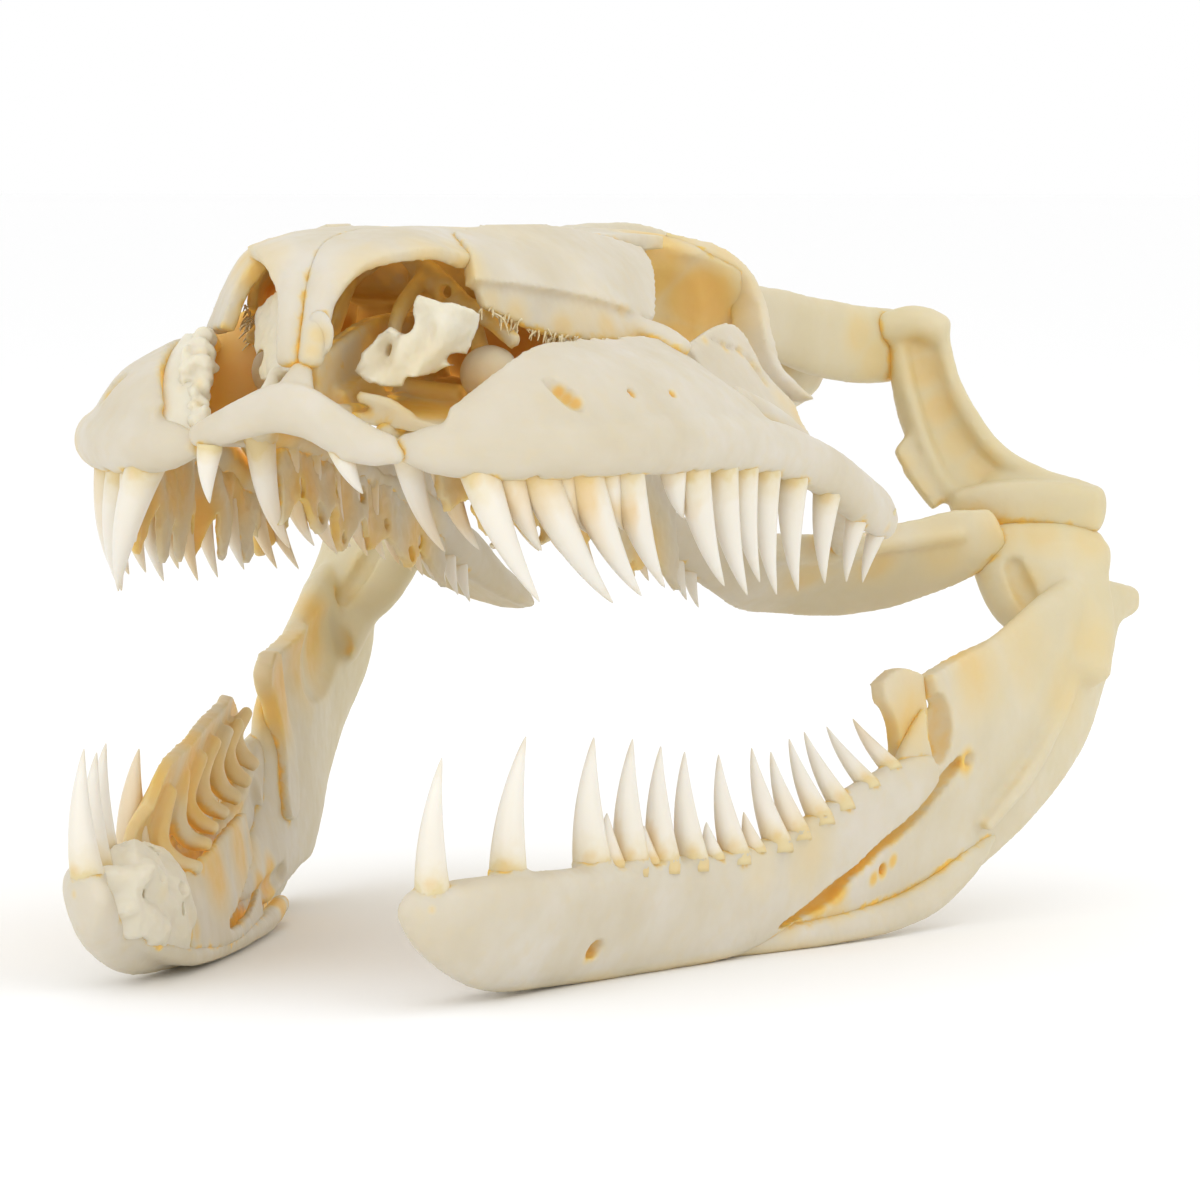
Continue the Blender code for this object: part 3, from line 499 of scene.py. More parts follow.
# Premaxilla. The short cross bar at the tip of the snout, with a peak up to the nasal bar and two
# prongs back to the palate. It is the first bone that bears teeth: long needle-pointed fangs, of
# glassy enamel over dentine, each rooted in a low collar with a pit before it.
FANG_GIRTH = [  # how far from root to tip, and the girth there, as shares of the whole
    (-0.12, 1.1), (-0.02, 1.16), (0.07, 1.12), (0.18, 1.03), (0.32, 0.91), (0.46, 0.77),
    (0.60, 0.61), (0.73, 0.45), (0.85, 0.29), (0.93, 0.17), (0.98, 0.08), (1.0, 0.03),
]
FANG_BOW = 0.10  # how far a fang bows forward, as a share of its length
FANG_WIDTH = 0.9  # its thickness across, as a share of that from front to back
PREMAXILLARY = [(4.2, -19.2, 43.0, 3.8, 0.5, 0.3, 0.95), (7.0, -18.9, 42.5, 4.2, 0.1, 0.05, 0.95)]


def fang_blank(sides=18):
    """A straight fang, 1 mm in radius at its root and 1 m long, to be copied and bent."""
    turns = [2 * math.pi * j / sides for j in range(sides)]
    return drawn_out([
        [(math.cos(turn) * girth * MM, math.sin(turn) * girth * MM, share) for turn in turns]
        for share, girth in eased(FANG_GIRTH, 2)
    ])


BLANK = fang_blank()


def fang(base, tip, radius):
    """A copy of the blank from base to tip, bowed towards the snout. Its points keep how far along
    it they are, for the enamel."""
    base, tip = at(*base), at(*tip)
    reach = (tip - base).length
    way = (tip - base).normalized()
    front = Vector((0, -1, 0))
    front = (front - way * front.dot(way)).normalized()
    side = front.cross(way)
    tooth = bpy.data.objects.new("fang", BLANK.data.copy())
    bpy.context.scene.collection.objects.link(tooth)
    along = tooth.data.attributes.new("along", "FLOAT", "POINT")
    for number, vert in enumerate(tooth.data.vertices):
        across, deep, share = vert.co
        swing = FANG_BOW * 4 * max(share, 0) * (1 - share) * reach
        vert.co = base + way * share * reach + side * across * FANG_WIDTH * radius + front * (
            deep * radius + swing)
        along.data[number].value = share
    return tooth


SLIM, FULLER = 0.55, 0.45  # share of the radius of the shortest tooth, and what length adds to it


def rooted(row, places, side=1):
    """Root, tip and radius of each tooth at (y, share, lean) along a row, which is a curve of (x, y,
    z, length, back, out, radius). Back and out are how far a tooth leans for each mm of its length,
    less the lean inwards, and share is how much of the row's length it has."""
    curve = eased(row, 12)
    teeth = []
    for y, share, lean in places:
        x, _, z, length, back, out, radius = (np.interp(y, curve[:, 1], column) for column in curve.T)
        reach = abs(length * share)
        tip = (side * (x + (out - lean) * reach), y + back * reach, z - length * share)
        teeth.append(((side * x, y, z), tip, radius * (SLIM + FULLER * share)))
    return teeth


COLLAR = (1.15, 1.3, 0.75)  # its half width, length and height, in root radii
PIT = (0.55, 0.5, 0.6)  # mm, its half width, length and depth
PIT_OUT, PIT_DROP = 0.35, 0.75  # from root to pit: root radii outwards, and mm along the tooth


def collars(row, places):
    """The low collars of bone that the teeth of a row stand in."""
    return [ball(*root, [radius * share for share in COLLAR]) for root, _, radius in rooted(row, places)]


def pits(row, places):
    """The small pit before each tooth, where the next one would come through, with painted ochre shade
    inside.
    """
    holes = []
    for (x, y, z), tip, radius in rooted(row, places):
        down = PIT_DROP if tip[2] < z else -PIT_DROP
        place = (x + PIT_OUT * radius, y - radius * COLLAR[0], z - down)
        mark_stain_and_shade(0.42, 0.7, place)
        holes.append(ball(*place, PIT))
    return holes


def varied(places, seed):
    """Each place with its own share of the row's length and no lean, as no two teeth are alike."""
    shares = np.random.default_rng(seed).uniform(0.92, 1.04, len(places))
    return [(y, share, 0.0) for y, share in zip(places, shares)]


CLOUD = 1.4  # mm across a milky cloud in the enamel


def tooth_enamel():
    """Snake enamel over dentine: glassy and cool at the point, milky cream in the body, chalky and
    yellower where it is rooted, and shaded ochre where a tooth stands deep in the mouth."""
    material, tree, shader, where = begun("tooth_enamel")
    along = add(tree, "Attribute", {"attribute_name": "along"}).outputs["Fac"]
    hollow = add(tree, "Attribute", {"attribute_name": "hollow"}).outputs["Fac"]
    cloud = add(tree, "TexNoise", Vector=where, Scale=1 / (CLOUD * MM), Detail=4.0).outputs["Fac"]
    wander = add(tree, "MapRange", Value=cloud, From_Min=0.3, From_Max=0.7, To_Min=-0.06,
                 To_Max=0.06).outputs[0]
    height = add(tree, "Math", {"operation": "ADD"}, n0=along, n1=wander).outputs[0]
    body = add(tree, "ValToRGB", Fac=height, stops=[
        (0.0, "#D9C899"), (0.07, "#DFD4B8"), (0.25, "#E4DED0"), (0.8, "#E4E0D6"), (1.0, "#DDD5C4"),
    ]).outputs["Color"]
    shade = add(tree, "MapRange", Value=hollow, From_Min=0.12, From_Max=0.65, To_Max=0.85).outputs[0]
    tinted = add(tree, "Mix", {"data_type": "RGBA"}, n0=shade, n6=body, n7=linear("#DDBB78")).outputs[2]
    tree.links.new(tinted, shader.inputs["Base Color"])
    gloss = add(tree, "MapRange", Value=height, From_Max=0.3, To_Min=0.55, To_Max=0.30).outputs[0]
    tree.links.new(gloss, shader.inputs["Roughness"])
    bump = add(tree, "Bump", Height=cloud, Strength=0.2, Distance=0.05 * MM)
    tree.links.new(bump.outputs[0], shader.inputs["Normal"])
    shader.inputs["IOR"].default_value = 1.55
    shader.inputs["Subsurface Weight"].default_value = 0.3
    shader.inputs["Subsurface Radius"].default_value = (1.0, 0.8, 0.55)
    shader.inputs["Subsurface Scale"].default_value = 1.0 * MM
    return material


ENAMEL = tooth_enamel()


def row_of_fangs(bone, row, places, side=1):
    """Sets the fangs of a row in the bone that they are rooted in."""
    teeth = joined(bone + "_teeth", [fang(*tooth) for tooth in rooted(row, places, side)])
    set_in_place(teeth, ENAMEL, bone)


premaxilla = fused(
    "premaxilla_bone",
    [
        bar([(-8.4, -18.3, 43.5, 0.9, 1.0), (-6.6, -18.9, 44.0, 1.1, 1.3), (-4, -19.4, 44.9, 1.3, 1.6),
             (-1.5, -19.6, 45.7, 1.4, 1.9), (0.5, -19.7, 45.8, 1.5, 2.1), (2.5, -19.6, 45.1, 1.4, 1.9),
             (4.6, -19.5, 43.9, 1.4, 1.8), (6.6, -19.1, 43.0, 1.3, 1.6), (8.4, -18.6, 42.7, 1.0, 1.2)]),
        bar([(0.2, -19.5, 46.2, 2.2, 1.2), (0.2, -18.4, 47.6, 1.5, 0.9), (0.2, -17.4, 49.0, 0.9, 0.6)],
            up=(0, 1, 0)),
        ball(5.2, -19.5, 42.6, (1.2, 1.1, 0.9)),
        ball(8.6, -18.6, 42.3, (0.9, 0.8, 0.8)),
        ball(-7.0, -18.8, 43.2, (1.1, 0.9, 0.8)),
        *(bar([(side * 1.6, -18.6, 45.2, 1.1, 0.9), (side * 2.2, -13, 45.4, 0.9, 0.7),
               (side * 2.4, -8, 45.6, 0.6, 0.5)]) for side in (-1, 1)),
    ],
    rounds=4,
)
set_in_place(premaxilla, BONE, "premaxilla")
snout_fangs = [fang(*rooted(PREMAXILLARY, [(y, 1.0, 0.0)], side)[0])
               for y, side in ((-19.2, 1), (-18.9, -1))]
set_in_place(joined("premaxilla_teeth", snout_fangs), ENAMEL, "premaxilla")

# Vomers. Two small bones in the roof of the mouth behind the snout. Each is a low ridge on a thin
# plate that floors the nose, with a thin wall on the midline, painted warm ochre as the shade inside the
# nose.
vomer = fused(
    "vomer_left_bone",
    [
        bar([(1.2, -12.5, 46.4, 0.6, 0.7), (1.6, -6, 47.2, 0.9, 1.5), (1.4, 2, 47.8, 0.8, 1.3),
             (1.2, 9, 48.2, 0.5, 0.7)]),
        sheet([[(0.2, -14.5, 45.2), (0.3, -4, 46.4), (0.3, 9, 47.4)],
               [(6.2, -13.5, 44.6), (7.0, -3, 45.4), (7.5, 9, 46.2)],
               [(11.2, -12.5, 43.8), (14.0, -3, 44.0), (14.5, 9, 44.6)]], 1.0),
        sheet([[(0.2, -15.4, 49.6), (0.3, -4, 52.5), (0.3, 8, 53)],
               [(0.2, -14.8, 45.2), (0.3, -4, 46.4), (0.3, 8, 47)]], 1.0),
        bar([(1.6, -2, 47.0, 1.6, 0.8), (6.6, -1, 46.4, 1.4, 0.9)]),
        bar([(3.6, -14.0, 46.6, 0.5, 0.5), (5.6, -13.2, 46.0, 0.6, 0.6), (7.4, -12.6, 45.0, 0.55, 0.5)]),
    ],
    rounds=4,
)
mark_stain_and_shade(0.72, 6, (6, -8, 46.5), (10, -5, 45.5), (5, 0, 47), (11, 3, 45.5))
both_sides(vomer, "vomer_left")

# Lining of the right nostril. A skin of dried gristle closes the right side of the nose behind. It is
# thin, and painted ochre on it stands in for the light that comes through it.
lining = fused(
    "vomer_right_lining",
    [sheet([[(-18.6, 4, 50.6), (-13, 6, 54), (-6, 8, 56)],
            [(-19.4, 3, 47.5), (-13, 4, 48), (-6, 6, 48)],
            [(-19.4, 2, 43.5), (-13, 2, 43), (-6, 4, 43)]], 0.9)],
    rounds=3,
)
mark_stain_and_shade(0.72, 7, (17, 2, 48), (12, 4, 48), (7, 5, 50), (12, 4, 52), sides=(-1,))
set_in_place(lining, BONE, "vomer_right")

# Struts and capsules of the nose. Thin bars of dried gristle run down through each nostril from the
# roof, pierced where they fork. Below them sits the round, pale capsule of the organ of smell.
struts = fused(
    "vomer_left_struts",
    [bar([(0.6, 1, 58, 0.6, 1.0), (3.4, 0, 56, 0.7, 1.2), (5.9, -0.4, 53.8, 0.7, 1.3),
          (7.2, 0.5, 51.4, 0.7, 1.0), (7.4, 2, 48.6, 0.8, 1.0)]),
     bar([(3.2, 0, 56, 0.6, 0.7), (2.6, -4, 53.0, 0.6, 0.9), (2.8, -6, 49.8, 0.6, 0.9),
          (2.4, -6, 47, 0.6, 0.7)]),
     bar([(5.6, -0.4, 54, 0.6, 0.9), (9.0, -1.2, 52.6, 0.6, 0.9), (11.6, -1.5, 50.6, 0.5, 0.7)])],
    [ball(5.2, -0.6, 54.6, (0.5, 2.0, 0.6)), ball(2.7, -5.2, 51.4, (0.3, 2.0, 0.5))],
    rounds=3,
)
both_sides(struts, "vomer_left")
capsule = fused("vomer_left_capsule", [ball(9.1, -1.0, 48.1, (2.4, 2.4, 2.35))], rounds=3)
both_sides(capsule, "vomer_left")
BARED.update(("vomer_left_capsule", "vomer_right_capsule"))

# Septomaxillae. Curled paper-thin bones on the floor of each nostril, with ragged edges, a prong
# that stands up behind and holes where the bone has dried away.
septomaxilla = fused(
    "septomaxilla_left_bone",
    [
        sheet([[(4.1, -10.9, 51.4), (5.2, -11.8, 51.9), (6.3, -10.0, 51.8), (7.3, -11.4, 54.5),
                (8.6, -9.4, 54.0), (9.9, -8.6, 53.8), (10.6, -6.4, 53.0)],
               [(3.2, -12.4, 50.1), (4.6, -10.4, 50.4), (6.2, -12.0, 50.8), (7.8, -9.8, 51.6),
                (9.0, -10.2, 51.6), (10.0, -7.6, 51.4), (10.3, -7.2, 50.8)],
               [(2.6, -12.4, 48.4), (4.2, -13.6, 47.8), (5.8, -12.0, 47.2), (7.2, -12.0, 48.0),
                (8.0, -9.6, 48.4), (8.8, -9.6, 48.8), (9.4, -7.6, 49.0)]], 0.7),
        bar([(3.0, -9.0, 49.6, 0.5, 0.5), (3.6, -7.6, 52.0, 0.5, 0.5), (5.4, -7.0, 53.8, 0.5, 0.5),
             (7.0, -7.0, 54.6, 0.45, 0.45)], up=(0, 1, 0)),
        bar([(3.2, -14.6, 48.4, 0.7, 0.7), (3.0, -16.4, 47.2, 0.7, 0.6), (3.0, -18.2, 46.2, 0.6, 0.6)]),
    ],
    [ball(6.2, -10.6, 52.3, (0.75, 2.6, 0.9)), ball(5.0, -11.4, 50.2, (0.4, 2.4, 0.5)),
     ball(8.9, -9.2, 54.6, (0.6, 2.4, 0.6)), ball(7.0, -11.6, 47.4, (0.6, 2.4, 0.7)),
     ball(3.4, -12.0, 51.9, (0.6, 2.4, 0.5)), ball(9.6, -8.6, 49.4, (0.7, 2.4, 0.5))],
    rounds=2,
    grain=0.2,
    rough=4,
)
set_in_place(septomaxilla, BONE, "septomaxilla_left")
septomaxilla = fused(
    "septomaxilla_right_bone",
    [
        sheet([[(-7.8, -8.0, 53.0), (-5.6, -9.0, 54.6), (-3.4, -10.6, 55.0), (-1.6, -12.4, 53.6)],
               [(-7.4, -9.2, 51.0), (-5.4, -10.4, 51.6), (-3.4, -11.6, 51.8), (-1.4, -13.6, 51.0)],
               [(-5.6, -11.8, 47.6), (-4.4, -13.0, 47.8), (-3.0, -14.2, 48.2), (-1.0, -15.4, 48.6)]], 0.9),
        bar([(-3.2, -14.6, 48.4, 0.7, 0.7), (-3.0, -16.4, 47.2, 0.7, 0.6), (-3.0, -18.2, 46.2, 0.6, 0.6)]),
    ],
    [ball(-3.6, -11.3, 51.9, (0.85, 2.2, 1.5), (0, 8, 0)), ball(-6.2, -10.2, 49.4, (0.5, 2.0, 0.8))],
    rounds=2,
    grain=0.2,
    rough=4,
)
set_in_place(septomaxilla, BONE, "septomaxilla_right")
BARED.update(("septomaxilla_left_bone", "septomaxilla_right_bone"))

# Prefrontals. A broad plate before each eye, smooth above a low fold. Below the fold the bone thins
# and ends in a fringe of dried gum. An arm inwards walls the orbit in front.
prefrontal = fused(
    "prefrontal_left_bone",
    [
        sheet([[(5.8, -1.0, 58.8), (6.8, 5, 59.4), (8.8, 14, 59.2), (11.4, 25.0, 57.6)],
               [(8.4, -4.2, 57.6), (10.4, 3.4, 57.4), (12.4, 12, 56.9), (13.2, 23.0, 55.6)],
               [(9.6, -6.0, 55.3), (12.4, 0.6, 54.6), (14.6, 9, 53.4), (15.4, 17.6, 51.8)]], 1.5),
        sheet([[(9.5, -5.2, 55.2), (12.0, 1.2, 54.4), (14.2, 9, 53.2), (15.2, 17, 52.0)],
               [(10.0, -4.6, 53.4), (12.6, 1.8, 51.2), (15.2, 9, 50.4), (16.2, 16.6, 50.4)]], 0.9),
        bar([(15.4, 14, 51.6, 1.3, 1.0), (18.0, 13.6, 50.8, 1.5, 1.0), (20.0, 13.2, 49.8, 1.2, 0.9)]),
        sheet([[(11.6, 22.6, 57.0), (13.6, 20.0, 54.4), (15.4, 16.4, 52.0)],
               [(8.0, 19.0, 57.2), (9.0, 17.5, 54.4), (12.2, 14.6, 51.6)]], 1.5),
    ],
    rounds=4,
)
both_sides(prefrontal, "prefrontal_left")


STRAND = 0.6  # mm across a strand of it


def dried_gum():
    """Dried gum and sinew. Tan and a little glossy, as glue is, with fine strands in it."""
    material, tree, shader, where = begun("dried_gum")
    strands = add(tree, "TexNoise", Vector=where, Scale=1 / (STRAND * MM), Detail=4.0).outputs["Fac"]
    tan = add(tree, "ValToRGB", Fac=strands, stops=[(0.3, "#C9AE74"), (0.5, "#D8C79C"),
                                                    (0.7, "#E2D8BC")]).outputs["Color"]
    tree.links.new(tan, shader.inputs["Base Color"])
    bump = add(tree, "Bump", Height=strands, Strength=0.5, Distance=0.1 * MM)
    tree.links.new(bump.outputs[0], shader.inputs["Normal"])
    gloss = add(tree, "MapRange", Value=strands, To_Min=0.35, To_Max=0.6).outputs[0]
    tree.links.new(gloss, shader.inputs["Roughness"])
    return material


GUM = dried_gum()


FRINGE, LONGEST = 110, 1.3  # fibres on each side, and the longest in mm
TAPER = (0.11, 0.08, 0.04)  # mm, a fibre's radius at its root, bend and tip


def frayed(name, path, seed, side):
    """Fibres that stand off along a path, each a thin tapered bar."""
    chance = np.random.default_rng(seed)
    path = eased(path, 20)
    strands = []
    for pick in chance.uniform(0, len(path) - 1.01, FRINGE):
        root = path[int(pick)] + chance.normal(0, 0.25, 3)
        reach = chance.uniform(0.4, 1.0) * LONGEST
        way = np.array([chance.normal(0.1, 0.35), chance.normal(-0.5, 0.5), chance.normal(-0.8, 0.2)])
        bend = root + way * reach * 0.5 + chance.normal(0, 0.06, 3)
        stations = [(side * x, y, z, radius, radius)
                    for (x, y, z), radius in zip((root, bend, root + way * reach), TAPER)]
        strands.append(bar(stations, sides=6, steps=3, least=0.03))
    fringe = joined(name, strands)
    within_the_box(fringe)
    return fringe


FRAY = [(10.2, -4.6, 53.5), (12.6, 1.6, 51.4), (14.0, 5.4, 50.8), (15.4, 10, 50.6)]
for side, word in SIDES:
    set_in_place(frayed(f"prefrontal_{word}_fibres", FRAY, 5 + side, side), GUM, f"prefrontal_{word}")
# Painted shade: ochre under the fold of each prefrontal.
mark_stain_and_shade(0.34, 2.4, (11.4, -1.6, 52.6), (13.4, 3.6, 51.6), (14.8, 9, 51.4), (10.4, -4.4, 53.6))

# Patch on the nasal bar. A flat lump of gum has dried on the left of the bar's foot, just above
# the snout, and holds a little ochre.
patch = fused("nasal_gum_patch", [ball(1.5, -16.9, 51.6, (1.2, 0.5, 1.9), (8, 0, 12)),
                                  ball(1.1, -17.2, 50.0, (1.0, 0.5, 0.9))], rounds=5, grain=0.2)
set_in_place(patch, BONE, "nasal_left")
mark_stain_and_shade(0.36, 1.3, (1.6, -17.4, 51.4), (1.2, -17.6, 50.2), sides=(1,))

# Right prefrontal's strut. On the right the front of the prefrontal is whole, and comes down as a
# thin outer wall beside the nostril to the maxilla.
strut = fused(
    "prefrontal_right_strut",
    [sheet([[(-6.0, -7.0, 58.3), (-8.6, -3.0, 58.4), (-10.0, 1.0, 58.4)],
            [(-6.9, -8.8, 57.0), (-9.9, -5.2, 57.2), (-12.4, 0, 57.0)],
            [(-8.6, -9.6, 54.6), (-10.6, -6.6, 54.8), (-13.2, -2, 54.6)],
            [(-9.6, -10.0, 51.6), (-11.4, -7.6, 51.4), (-13.8, -4, 51.2)]], 1.3)],
    rounds=4,
)
set_in_place(strut, BONE, "prefrontal_right")

# Postorbitals. A thin hooked strap of bone behind each eye, flat where it lies on the roof, curved
# round the orbit's rear and narrowing to a free tip above the cheek.
postorbital = fused(
    "postorbital_left_bone",
    [
        sheet([[(10.2, 33.6, 58.8), (13.2, 36.0, 58.1)],
               [(12.8, 37.6, 56.4), (15.8, 38.6, 56.2)],
               [(14.2, 39.2, 53.4), (17.5, 38.8, 53.0)],
               [(15.0, 38.4, 50.8), (18.4, 37.6, 50.6)],
               [(17.0, 37.0, 48.0), (19.6, 36.9, 48.0)],
               [(19.4, 36.6, 45.9), (21.6, 36.4, 46.1)],
               [(21.4, 36.2, 44.8), (22.9, 36.0, 45.3)]], 1.5),
    ],
)
# Painted shade: ochre on the inner face of the strap, inside the orbit.
mark_stain_and_shade(0.30, 4.5, (14.8, 37, 52), (14.5, 37, 49))
both_sides(postorbital, "postorbital_left")

# Supratemporals. A flat bar on each side lies on the braincase and sticks out behind it, to carry
# the quadrate. It is greasy and stained near its end.
supratemporal = fused(
    "supratemporal_left_bone",
    [
        bar([(10.6, 47, 52.6, 0.7, 1.5), (11.9, 53, 51.4, 1.2, 2.9), (13.7, 60, 49.9, 1.3, 3.4),
             (15.5, 67, 49.0, 1.4, 3.5), (17.0, 73, 48.8, 1.3, 3.2),
             (18.2, 79.2, 48.9, 1.1, 2.4)], box=2.6),
    ],
)
mark_stain_and_shade(0.34, 3.4, (16.2, 65.2, 50.0), (17, 67.5, 47.5))
both_sides(supratemporal, "supratemporal_left")

# Quadrates. The long twisted blade from which each lower jaw hangs, dished between two ridges in
# front, with a rounded head above, a thin flange within and a broad block for the joint below.
quadrate = fused(
    "quadrate_left_bone",
    [
        sheet([[(17.2, 70.4, 50.6), (17.6, 70.4, 45.2), (18.9, 70.1, 41.0), (21.4, 70.0, 37.4),
                (23.2, 69.6, 34.8)],
               [(19.8, 71.5, 50.8), (20.8, 72.0, 45.2), (23.0, 72.1, 40.4), (26.8, 72.0, 37.0),
                (29.2, 71.4, 34.8)],
               [(22.0, 71.5, 50.6), (23.3, 71.9, 45.4), (26.7, 72.2, 40.3), (31.0, 72.6, 37.6),
                (35.0, 73.0, 36.0)]], 1.7),
        bar([(21.8, 71.2, 50.4, 0.8, 0.8), (23.1, 71.4, 45.3, 0.8, 0.8), (26.5, 71.5, 40.0, 0.9, 0.9),
             (30.6, 71.8, 37.5, 0.9, 0.9), (35.0, 72.2, 36.2, 0.9, 0.9)], up=(0, 1, 0)),
        bar([(18.2, 70.2, 49.6, 0.8, 0.8), (19.2, 70.1, 45.0, 0.8, 0.9), (20.8, 69.8, 40.4, 0.8, 0.9),
             (22.8, 69.4, 36.6, 0.9, 0.9), (25.0, 69.0, 35, 1.0, 1.0)], up=(0, 1, 0)),
        sheet([[(19.6, 70.0, 41.6), (20.8, 69.8, 38.8), (23.4, 69.6, 35.6)],
               [(18.5, 68.2, 39.6), (20.2, 67.9, 37.0), (22.4, 67.8, 34.4)]], 1.2),
        bar([(17.3, 69.2, 50.4, 1.4, 1.4), (19.8, 70.5, 50.9, 1.8, 1.6), (22.0, 71.2, 50.1, 1.4, 1.5)]),
        bar([(24.4, 68.6, 34.8, 1.4, 1.5), (28.2, 69.6, 35.0, 1.9, 2.1), (32.4, 70.8, 34.9, 2.1, 2.3),
             (36.2, 71.9, 34.5, 1.7, 2.2)], box=3.2),
        bar([(26.6, 71.2, 36.6, 1.2, 1.0), (31.6, 71.8, 36.6, 1.3, 1.2), (35.4, 72.4, 35.8, 1.2, 1.0)]),
    ],
    rounds=18,
)
# Painted shade: ochre along the dish between the ridges, below the joint block and on the inner flange.
mark_stain_and_shade(0.36, 2.8, (19.6, 70.6, 49.2), (20.4, 70.6, 46.6), (21.8, 71, 43.2), (23.6, 71, 40.4),
      (25.8, 71, 38.4))
mark_stain_and_shade(0.3, 3.4, (29, 66.6, 32.8), (32.5, 67.4, 33.0), (36.6, 69.4, 32.4))
mark_stain_and_shade(0.3, 2.0, (19.4, 67.4, 38.6), (21.2, 67.2, 36.4))
both_sides(quadrate, "quadrate_left")

# Maxillae. The upper jaw bones: a stout toothed bar with a tall thin wall above its front, let
# through by holes for nerves, and a tongue inwards to the palate.
MAXILLARY = [(14.2, -15.2, 41.2, 10.4, 0.27, 0.38, 1.5), (17.5, -11.6, 41.1, 10.4, 0.6, 0.36, 1.6),
             (20.2, -8.5, 41.1, 10.1, 0.6, 0.25, 1.6), (22.4, -4.4, 41.2, 10.4, 0.55, 0.12, 1.5),
             (24.8, 4, 41.0, 10.4, 0.48, 0.09, 1.45), (26.2, 16, 40.4, 10.4, 0.3, -0.02, 1.3),
             (27.4, 27, 38.2, 8.2, 0.25, -0.12, 1.15), (28.3, 38.5, 35.4, 6.0, 0.2, -0.4, 0.9)]
MAXILLARY_Y = [-15.2, -11.6, -8.7, -4.9, 3.3, 7.8, 11.7, 15.8, 20.8, 27.2, 33.8, 38.4]
YOUNG_MAXILLARY = [(-13.4, 0.62, 0.12), (-10.1, 0.5, 0.12), (-6.8, 0.5, 0.1), (0.8, 0.42, 0.1)]
upper_row = varied(MAXILLARY_Y, 7)
maxilla = fused(
    "maxilla_left_bone",
    [
        bar([(8.7, -17.7, 42.8, 0.8, 1.1), (11.5, -17.0, 42.7, 1.7, 2.0), (15.4, -14.9, 42.6, 2.1, 2.4),
             (19.2, -11.4, 42.6, 2.2, 2.4), (22.2, -7.0, 42.7, 2.2, 2.4), (24.2, -0.5, 42.7, 2.1, 2.4),
             (25.4, 7, 42.5, 2.0, 2.4), (26.4, 16, 41.9, 1.9, 2.3), (27.4, 26, 39.7, 1.8, 2.1),
             (27.8, 33, 37.3, 1.6, 2.2), (28.0, 37.6, 35.7, 1.4, 2.1), (28.0, 40.0, 34.7, 1.1, 1.6)]),
        sheet([[(11.2, -17.8, 43.0), (15.8, -15.8, 43.0), (20.0, -12.0, 43.0), (23.2, -7.0, 43.2),
                (25.2, 0, 43.2), (26.1, 7, 43.2), (26.9, 15, 42.9)],
               [(12.2, -17.0, 44.8), (15.4, -14.2, 46.3), (18.6, -10.2, 47.2), (20.4, -5.0, 47.8),
                (21.8, 1.8, 47.8), (23.2, 8.4, 47.2), (25.2, 15.0, 44.9)],
               [(12.4, -15.8, 45.4), (14.3, -12.0, 48.2), (15.3, -7.4, 50.0), (15.9, -2.4, 50.3),
                (16.8, 4.6, 50.3), (18.0, 13.2, 50.0), (23.4, 15.4, 45.7)]], 1.5),
        bar([(24, 6, 42.4, 2.2, 1.4), (19, 9, 42.4, 2.6, 0.9), (14, 9.5, 42.2, 2.2, 0.8),
             (12, 9.5, 42.0, 1.6, 0.7)]),
        *collars(MAXILLARY, upper_row),
    ],
    [
        bar([(18.2, -11.0, 48.2, 0.45, 0.5), (19.1, -10.8, 47.5, 0.75, 1.0), (20.1, -10.4, 46.6, 0.85, 1.1),
             (20.9, -10.1, 45.9, 0.5, 0.6)], up=(0.69, -0.41, 0.6)),
        ball(22.5, -3.9, 46.8, (0.75, 0.5, 0.5)),
        ball(23.8, 1.5, 46.6, (0.7, 0.42, 0.38)),
        *pits(MAXILLARY, upper_row),
    ],
    rounds=4,
)
# Painted shade: ochre inside the nerve holes.
mark_stain_and_shade(0.62, 0.75, (18.8, -10.1, 47.0), (19.4, -9.9, 46.5), (20.0, -9.6, 46.1))
mark_stain_and_shade(0.72, 0.6, (22.1, -3.7, 46.5), (23.4, 1.6, 46.4))
both_sides(maxilla, "maxilla_left")
for side, word in SIDES:
    row_of_fangs("maxilla_" + word, MAXILLARY, upper_row + YOUNG_MAXILLARY, side)

# Turned-in edge. The inner edge of the right maxilla curls in round the nostril and has broken
# back to chalky bone.
turned_in = fused(
    "maxilla_right_edge",
    [sheet([[(-16.0, -4.2, 50.2), (-14.6, -6.6, 51.0), (-12.8, -8.6, 51.1)],
            [(-15.0, -8.8, 49.2), (-13.2, -10.4, 49.9), (-11.4, -11.4, 50.0)],
            [(-14.0, -12.6, 47.0), (-12.4, -13.2, 47.5), (-10.6, -13.2, 47.8)],
            [(-12.6, -15.6, 44.8), (-11.4, -15.7, 45.1), (-10.0, -15.0, 45.6)],
            [(-11.6, -17.6, 43.4), (-10.6, -17.2, 43.4), (-9.4, -16.4, 43.6)]], 0.9)],
    rounds=4,
)
BARED.add(turned_in.name)
set_in_place(turned_in, BONE, "maxilla_right")

